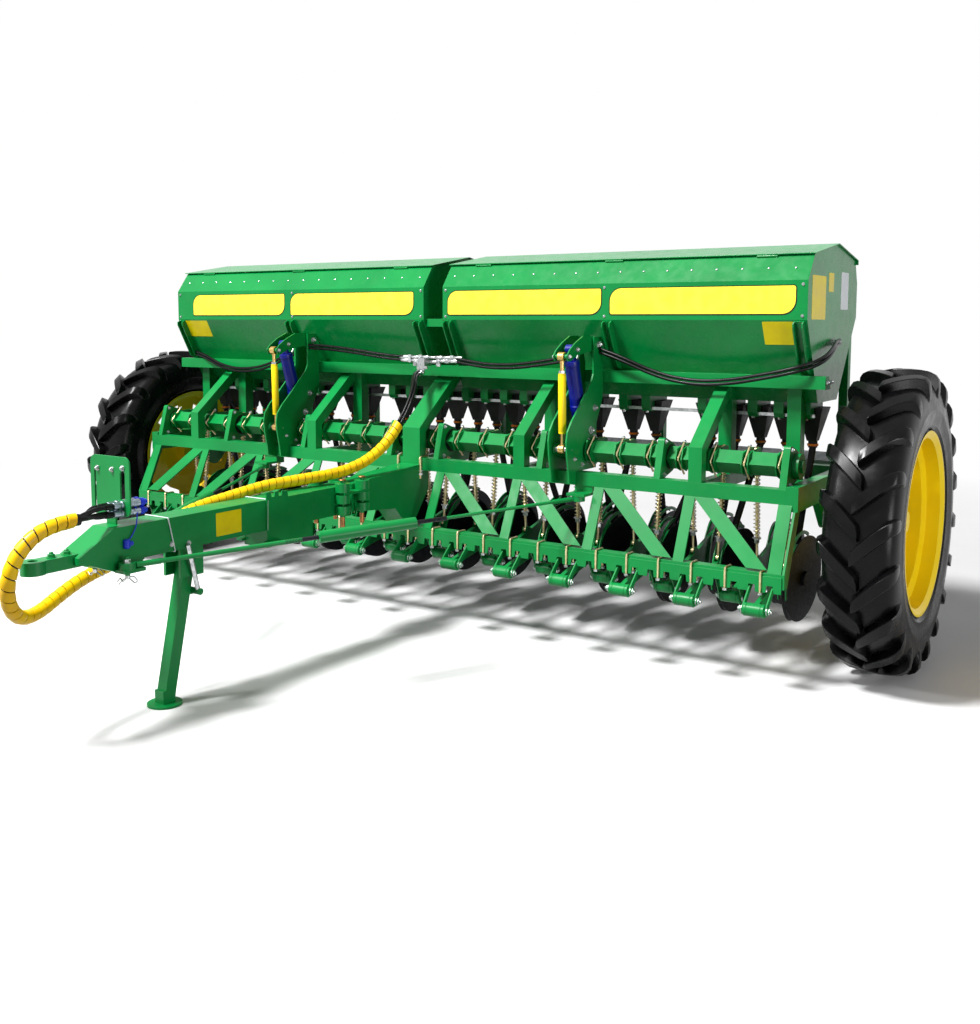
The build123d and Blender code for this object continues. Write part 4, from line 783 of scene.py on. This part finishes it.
# Lift: rod ends, sleeve and lock nut of each turnbuckle
EYE_HALF = 15
EYE_FORM = [(0, 18), (2, 20.6), (28, 20.6), (30, 18)]
CRANK_EYE_FORM = [(0, 19), (2, 21.5), (28, 21.5), (30, 19)]
UPPER_NECK = [(0, 9), (8, 11), (20, 9.4), (62, 9.4)]
LOWER_NECK = [(0, 9.4), (42, 9.4), (52, 11), (60, 9)]
# along the turnbuckle from its upper pin
UPPER_NECK_AT, LOCK_NUT_AT, TURN_SLEEVE_AT, LOWER_NECK_AT = 14, 62, 74, 342
TURN_SLEEVE = [(0, 12), (10, 17.6), (262, 17.6), (272, 12)]


def turnbuckles():
    """What each tower's turnbuckle shows over the model's plain one."""
    brass, sleeves, nuts = [], [], []
    for x in TOWERS:
        top, low = Vector((x, *ROCKER_FRONT)), Vector((x, *CRANK))
        along = (low - top).normalized()
        aside = Vector(LEFT) * EYE_HALF
        brass.append(turned(top + along * UPPER_NECK_AT, along, UPPER_NECK, 16))
        brass.append(turned(top + along * LOWER_NECK_AT, along, LOWER_NECK, 16))
        brass.append(turned(top + aside, RIGHT, EYE_FORM, 24))
        brass.append(turned(low + aside, RIGHT, CRANK_EYE_FORM, 24))
        sleeves.append(turned(top + along * TURN_SLEEVE_AT, along, TURN_SLEEVE, 24))
        nuts.append(plug(top + along * LOCK_NUT_AT, along, 15, 12, 6))
    piece("turnbuckle_rod_ends", "turnbuckles", BRASS, brass)
    piece("turnbuckle_sleeves", "turnbuckles", MATERIALS["turnbuckle_yellow"], sleeves)
    piece("turnbuckle_nuts", "turnbuckles", ZINC, nuts)


# Lift: end collars and oil ports of each cylinder
UPPER_COLLAR = [(0, 33.4), (9, 35), (22, 35), (24, 33.4)]
LOWER_COLLAR = [(0, 33.4), (3, 36), (28, 36), (31, 30)]
PORT_FORM = [(0, 11), (10, 11), (10.5, 8), (16, 8)]
# along the cylinder from its upper pin
UPPER_COLLAR_AT, LOWER_COLLAR_AT, PORTS_AT = 52, 262, (64, 276)
# out from the cylinder's line: a port's foot, and its elbow, which leans up by this much
PORT_OUT, ELBOW_OUT, ELBOW_LEAN = 30, 44, 0.9


def cylinders():
    """Collars, and a port with its elbow at each end of both cylinders."""
    collars, ports = [], []
    for x in TOWERS:
        top, low = Vector((x, *ROCKER_REAR)), Vector((x, *CYLINDER_FOOT))
        along = (low - top).normalized()
        out = Vector((0, -along.z, along.y))
        collars.append(turned(top + along * UPPER_COLLAR_AT, along, UPPER_COLLAR, 28))
        collars.append(turned(top + along * LOWER_COLLAR_AT, along, LOWER_COLLAR, 28))
        for d in PORTS_AT:
            port = top + along * d
            ports.append(turned(port + out * PORT_OUT, out, PORT_FORM, 6))
            ports.append(plug(port + out * ELBOW_OUT, out + Vector(UP) * ELBOW_LEAN, 7, 26, 12))
    piece("cylinder_collars", "cylinder_barrels", MATERIALS["cylinder_blue"], collars)
    piece("cylinder_ports", "cylinder_barrels", ZINC, ports)


# Drawbar: hinge caps and pin ends, stay bolts with their clips, channel and hitch bolts, threads and ties
HINGE_X, HINGES_Y, HINGE_TOP, HINGE_FOOT = 80, (-1065, -932), 764, 600
HINGE_CAP, HINGE_END = [(0, 15), (3, 17), (6, 15)], [(0, 10.6), (44, 10.6), (46, 8)]
STAY_FRONT, STAY_REAR = (92, -2238, 600), (970, -500, 690)
STAY_NUT_Z, STAY_END_Z, STAY_END = 612, 578, [(0, 9), (24, 9), (27, 6)]
# a spring clip's wire, from a point under the stay's bolt
CLIP_AT = (92, -2238, 572)
CLIP_WIRE = [
    (-70, 8, -42), (-44, 2, -22), (-22, -4, -34), (0, 0, -12), (30, 6, -8), (44, 8, -22), (26, 10, -34),
    (0, 6, -18), (-24, 2, -24), (-48, 6, -40), (-66, 10, -54),
]
CHANNEL_BOLTS = ((60, -2010, 636), (60, -1930, 626))
TONGUE_TOP, HITCH_BOLTS_Y = 663, (-2478, -2418)
# the threaded ends of a stay's turnbuckle, as shares of its length
THREADS, THREAD_PITCH = ((0.3, 0.372), (0.583, 0.66)), 3
# the drawbar's ties: where each crosses its top and its underside
TIES_Y = ((-2028, -1998), (-1512, -1516))
TIE_HALF, TIE_TOP, TIE_FOOT = 64, 738, 606
# radius of spring wire, ties and the cap's cord
FINE_R = 2.4


def drawbar_details():
    """The small pieces of the drawbar and its stays, on both sides where they come in pairs."""
    caps, bolts, clips, threads = [], [], [], []
    for _, side in SIDES:
        for y in HINGES_Y:
            caps.append(turned((side * HINGE_X, y, HINGE_TOP), UP, HINGE_CAP))
            caps.append(turned((side * HINGE_X, y, HINGE_FOOT), DOWN, HINGE_END, 16))
        x, y, z = STAY_FRONT
        front, rear = Vector((side * x, y, z)), Vector((side * STAY_REAR[0], *STAY_REAR[1:]))
        bolts += bolt((side * x, y, STAY_NUT_Z), UP, 13)
        bolts.append(turned((side * x, y, STAY_END_Z), DOWN, STAY_END, 14))
        x, y, z = CLIP_AT
        clips.append(tube(bent([(side * x + a, y + b, z + c) for a, b, c in CLIP_WIRE], 6), FINE_R))
        for t0, t1 in THREADS:
            count = int((t1 - t0) * (rear - front).length / THREAD_PITCH)
            ridges = [(k * THREAD_PITCH, 9.6 if k % 2 else 8.6) for k in range(count)]
            threads.append(turned(front.lerp(rear, t0), rear - front, ridges, 12))
    for place in CHANNEL_BOLTS:
        bolts += bolt(place, RIGHT, 8)
    painted = []
    for y in HITCH_BOLTS_Y:
        painted += bolt((0, y, TONGUE_TOP), UP, 13)
    piece("stay_threads", "chassis", DARK_STEEL, threads)
    piece("hinge_pin_ends", "chassis", RUSTY, caps)
    piece("drawbar_bolts", "chassis", ZINC, bolts)
    piece("hitch_bolts", "chassis", GREEN, painted)
    piece("spring_clips", "chassis", ZINC, clips)
    ties = []
    for y0, y1 in TIES_Y:
        top = [(-TIE_HALF, y0, TIE_TOP), (TIE_HALF, y0, TIE_TOP)]
        foot = [(TIE_HALF, y1, TIE_FOOT), (-TIE_HALF, y1, TIE_FOOT)]
        ties.append(tube(bent(top + foot + top[:1], 5), FINE_R))
    piece("cable_ties", "chassis", TIE_WHITE, ties)


# Couplings in the rack with their rings and hose ends, and one hanging cap on its cord
COUPLINGS = ((24, 784), (24, 814), (54, 784), (54, 814))
COUPLING_Y, CAP_Y, FERRULE_Y, HOSE_END_R = -2264, -2150, -2296, 8.5
COUPLING_FORM = [
    (0, 9), (2, 12.6), (26, 12.6), (28, 10.5), (34, 10.5), (36, 14), (76, 14), (78, 12), (84, 12), (86, 14),
    (112, 14), (114, 11), (122, 11),
]
RING_FORM = [(0, 13), (2, 15.5), (16, 15.5), (18, 12), (30, 10)]
FERRULE_FORM = [(0, 10.6), (30, 11.4), (33, 9.5)]
CAP_CORD = [(58, -2170, 800), (66, -2166, 790), (68, -2176, 730), (66, -2200, 690), (66, -2214, 684)]
HANGING_CAP, HANGING_STUB = (66, -2218, 690), (66, -2210, 672)
RACK_Y, RACK_BOLTS = -2221, ((-81, 938), (0, 938), (59, 947), (-92, 788))


def couplings():
    """The rack's couplings and bolts, the hose ends and the hanging cap."""
    bodies, caps, ends = [], [], []
    for x, z in COUPLINGS:
        bodies.append(turned((x, COUPLING_Y, z), BACK, COUPLING_FORM, 24))
        caps.append(turned((x, CAP_Y, z), BACK, RING_FORM, 24))
        ends.append(turned((x, FERRULE_Y, z), BACK, FERRULE_FORM, 16))
    piece("coupling_bodies", "chassis", COUPLING, bodies)
    piece("coupling_caps", "chassis", CAP_BLUE, caps)
    # the first coupling's hose is a cord of the model; these are the other three
    for k, (x, z) in enumerate(COUPLINGS[1:]):
        path = [(x, -2290, z), (x + 2, -2330, z), (46 + 3 * k, -2380, 792 + 5 * k), (46, -2420, 787)]
        ends.append(tube(bent(path, 14), HOSE_END_R, 12))
    piece("hose_ends", "chassis", RUBBER, ends)
    hanging = [
        turned(HANGING_CAP, DOWN, [(0, 9), (4, 13), (30, 13), (34, 10)]),
        plug(HANGING_STUB, BACK, 9, 16, 16),
        tube(bent(CAP_CORD, 14), FINE_R),
    ]
    piece("hanging_cap", "chassis", CAP_BLUE, hanging)
    parts = []
    for x, z in RACK_BOLTS:
        parts += bolt((x, RACK_Y, z), FRONT, 8)
    piece("rack_bolts", "chassis", ZINC, parts)


# Oil fittings that join the hoses below the hopper
FITTINGS_Y = -278
UPPER_Z, LOWER_Z = 1292.5, 1275.5
FITTINGS = (
    # two ends in x, radius, sides, height
    (-204, -152, 10.5, 14, UPPER_Z), (-152, -130, 13, 6, UPPER_Z), (-130, -84, 9, 14, UPPER_Z),
    (-84, -62, 13, 6, UPPER_Z), (-62, -20, 10.5, 14, UPPER_Z), (-20, 22, 7.5, 12, UPPER_Z),
    (22, 66, 10.5, 14, UPPER_Z), (66, 112, 9, 14, UPPER_Z), (112, 134, 13, 6, UPPER_Z),
    (134, 188, 10.5, 14, UPPER_Z), (-196, -150, 10.5, 14, LOWER_Z), (-150, -128, 13, 6, LOWER_Z),
    (-128, -92, 9, 14, LOWER_Z), (-92, -68, 14, 6, 1270), (-66, -34, 16, 4, 1268), (-34, -12, 13, 6, 1270),
    (-12, 30, 9, 14, 1270), (30, 52, 13, 6, 1272), (52, 84, 9, 14, LOWER_Z), (84, 106, 13, 6, LOWER_Z),
    (106, 158, 10.5, 14, LOWER_Z),
)
TEES_X, TEES_Z = (-107, -46, 40), 1300
TEE_FORM = [(0, 9), (34, 9), (34.5, 12), (52, 12)]
ELBOWS = ((-70, -284), (-48, -284), (-59, -270))
ELBOW_FORM = [(0, 9), (18, 9), (18.5, 12), (38, 12), (38.5, 9.5), (46, 9.5)]
ELBOW_FOOT = [(0, 11), (4, 12), (20, 12), (22, 10), (52, 9.5)]
ELBOW_Z, ELBOW_WAY, ELBOW_FOOT_Z, ELBOW_FOOT_WAY = 1262, (0, -0.25, -1), 1218, (0.2, -1, -0.2)
BLOCK_PLATE = [(-34, -28), (34, -28), (26, 28), (-26, 28)]
BLOCK_FOOT = [(-30, 0), (-10, 0), (-10, 40), (-30, 40)]
PLATE_AT, FOOT_AT = (-50, -292, 1262), (0, -266, 1250)
# where the right outer hoses enter the end sheet
INLET_AT, INLET_STUB_AT = (1899.5, 107, 1386), (1908, 118, 1390)


def oil_fittings():
    """Two rows of fittings, their tees, elbows and plates, and the inlet at the right end."""
    parts = []
    for x0, x1, radius, sides, z in FITTINGS:
        long = x1 - x0
        form = [(0, radius * 0.9), (1.5, radius), (long - 1.5, radius), (long, radius * 0.9)]
        parts.append(turned((x0, FITTINGS_Y, z), RIGHT, form, sides))
    parts += [turned((x, FITTINGS_Y, TEES_Z), DOWN, TEE_FORM, 6) for x in TEES_X]
    for x, y in ELBOWS:
        parts.append(turned((x, y, ELBOW_Z), ELBOW_WAY, ELBOW_FORM, 6))
        parts.append(turned((x, y - 8, ELBOW_FOOT_Z), ELBOW_FOOT_WAY, ELBOW_FOOT, 14))
    parts.append(slab(BLOCK_PLATE, PLATE_AT, RIGHT, UP, 6))
    parts.append(slab(BLOCK_FOOT, FOOT_AT, RIGHT, UP, 66))
    parts.append(turned(INLET_AT, RIGHT, [(0, 14), (6, 14), (7, 10), (12, 10)], 6))
    parts.append(plug(INLET_STUB_AT, (0.6, 1, 0), 9, 26, 12))
    piece("oil_fittings", "chassis", ZINC, parts, ["hose_fittings"])


# Orange clips on the funnel necks, and nuts under the feed units
UNIT_PITCH = 118
# first place and count of each group of feed units on one side
UNIT_GROUPS = ((66, 4), (670, 2), (976, 2), (1373, 5))
NECK_CLIP = [(0, 23), (1, 24.5), (9, 24.5), (10, 23)]
NECK_AT, UNIT_NUT_AT = (45, 932), (-62, 1060)


def feed_details():
    """One clip and one nut to a feed unit."""
    units = [first + i * UNIT_PITCH for first, count in UNIT_GROUPS for i in range(count)]
    places = [side * x for _, side in SIDES for x in units]
    clips = [turned((x, *NECK_AT), UP, NECK_CLIP) for x in places]
    piece("funnel_clips", "chassis", ORANGE, clips)
    nuts = [plug((x, *UNIT_NUT_AT), DOWN, 8, 9, 6) for x in places]
    piece("unit_nuts", "chassis", ZINC, nuts)


# Wheel bolts round each hub
WHEEL_BOLTS, WHEEL_BOLT_R, WHEEL_FACE = 8, 105, 6


def wheel_bolts():
    """A ring of bolts on the outer face of each wheel."""
    for name, side in SIDES:
        parts = []
        for i in range(WHEEL_BOLTS):
            a = 2 * math.pi * i / WHEEL_BOLTS
            y, z = WHEEL_BOLT_R * math.sin(a), WHEEL_Z + WHEEL_BOLT_R * math.cos(a)
            parts += bolt((side * (WHEEL_X + WHEEL_FACE), y, z), (side, 0, 0), 11)
        piece("wheel_bolts_" + name, "wheel_" + name, ZINC, parts)


tyres()
springs()
u_bolts()
opener_forms()
shaft_clips()
drawbar_u_bolts()
frame_bolts()
lift_pins()
hopper_bolts()
films()
turnbuckles()
cylinders()
drawbar_details()
couplings()
oil_fittings()
feed_details()
wheel_bolts()

# Floor, light and camera
FLOOR_HALF = 60
WHITE, FLOOR_PALE, FLOOR_DARK = "#ffffff", ("#dedede", "#e6e6e6"), "#6c6c6c"
AMBIENT = 0.2
# distances in metres over which the floor fades to white
FADE = (3.2, 7.5)
AIM = (0.0, 0.4, 0.8)
LAMPS = (
    # name, place, size across, watts
    ("key", (-2.8, -6.2, 11.5), 2.2, 3200),
    ("glint", (-5.6, -7.6, 6.6), 1.6, 420),
    ("wheel_fill", (5.6, -0.9, 0.7), 1.6, 90),
)
AZIMUTH, PITCH, ROLL = 33.24, 5.5, 0.19
CAMERA_AT = (3.2354, -3.8075, 1.4642)
FOCAL_PX, IMAGE_HEIGHT, AXIS_ROW = 1073.3, 1024, 427
SENSOR = 36


def background_rays(tree):
    """1 on rays from the camera, a reflection or a clear piece, and 0 on those that light the object."""
    seen = add(tree, "ShaderNodeLightPath").outputs
    rays = {0: seen["Is Camera Ray"], 1: seen["Is Glossy Ray"]}
    either = add(tree, "ShaderNodeMath", rays, operation="MAXIMUM").outputs[0]
    rays = {0: either, 1: seen["Is Transmission Ray"]}
    return add(tree, "ShaderNodeMath", rays, operation="MAXIMUM").outputs[0]


def floor():
    """A plain pale floor that fades to white, and is darker to the rays that light the object."""
    mesh = bpy.data.meshes.new("floor")
    corners = [(x * FLOOR_HALF, y * FLOOR_HALF, 0) for x, y in ((-1, -1), (1, -1), (1, 1), (-1, 1))]
    mesh.from_pydata(corners, [], [(0, 1, 2, 3)])
    plane = bpy.data.objects.new("floor", mesh)
    bpy.context.scene.collection.objects.link(plane)
    inputs = {"IOR": 1.45, "Roughness": 0.85, "Specular IOR Level": 0.2}
    made, tree, shader, place = start("studio_floor", inputs)
    seen = background_rays(tree)
    tone = spread(tree, noise(tree, place, 900, 3.0), *MIDDLE)
    pale = blend(tree, tone, *[linear(code) for code in FLOOR_PALE])
    tree.links.new(blend(tree, seen, linear(FLOOR_DARK), pale), shader.inputs["Base Color"])
    away = add(tree, "ShaderNodeVectorMath", {0: place}, operation="LENGTH").outputs["Value"]
    fade = {0: spread(tree, away, *FADE), 1: seen}
    far = add(tree, "ShaderNodeMath", fade, operation="MULTIPLY").outputs[0]
    white = add(tree, "ShaderNodeEmission", {"Color": linear(WHITE), "Strength": 1.0})
    both = {0: far, 1: shader.outputs["BSDF"], 2: white.outputs["Emission"]}
    mix = add(tree, "ShaderNodeMixShader", both)
    tree.links.new(mix.outputs["Shader"], tree.nodes["Material Output"].inputs["Surface"])
    mesh.materials.append(made)


def light():
    """A white room, dim to the rays that light the object, and soft lamps."""
    world = bpy.data.worlds.new("studio")
    world.use_nodes = True
    back = world.node_tree.nodes["Background"]
    back.inputs["Color"].default_value = linear(WHITE)
    strength = spread(world.node_tree, background_rays(world.node_tree), 0, 1, AMBIENT, 1)
    world.node_tree.links.new(strength, back.inputs["Strength"])
    bpy.context.scene.world = world
    for name, spot, size, power in LAMPS:
        lamp = bpy.data.lights.new(name, "AREA")
        lamp.size, lamp.energy = size, power
        holder = bpy.data.objects.new(name, lamp)
        holder.location = spot
        holder.rotation_euler = (Vector(AIM) - Vector(spot)).to_track_quat("-Z", "Y").to_euler()
        bpy.context.scene.collection.objects.link(holder)


def camera():
    """The photograph's camera, with its optical axis above the middle of the picture."""
    data = bpy.data.cameras.new("camera")
    data.sensor_width = SENSOR
    data.lens = SENSOR * FOCAL_PX / IMAGE_HEIGHT
    data.shift_y = (AXIS_ROW - IMAGE_HEIGHT / 2) / IMAGE_HEIGHT
    data.clip_end = 200
    holder = bpy.data.objects.new("camera", data)
    turn = Matrix.Rotation(math.radians(AZIMUTH), 4, "Z")
    turn = turn @ Matrix.Rotation(math.radians(90 - PITCH), 4, "X")
    turn = turn @ Matrix.Rotation(math.radians(ROLL), 4, "Z")
    holder.matrix_world = Matrix.Translation(CAMERA_AT) @ turn
    bpy.context.scene.collection.objects.link(holder)
    bpy.context.scene.camera = holder
    bpy.context.scene.view_settings.view_transform = "Standard"


floor()
light()
camera()

bpy.context.view_layer.update()
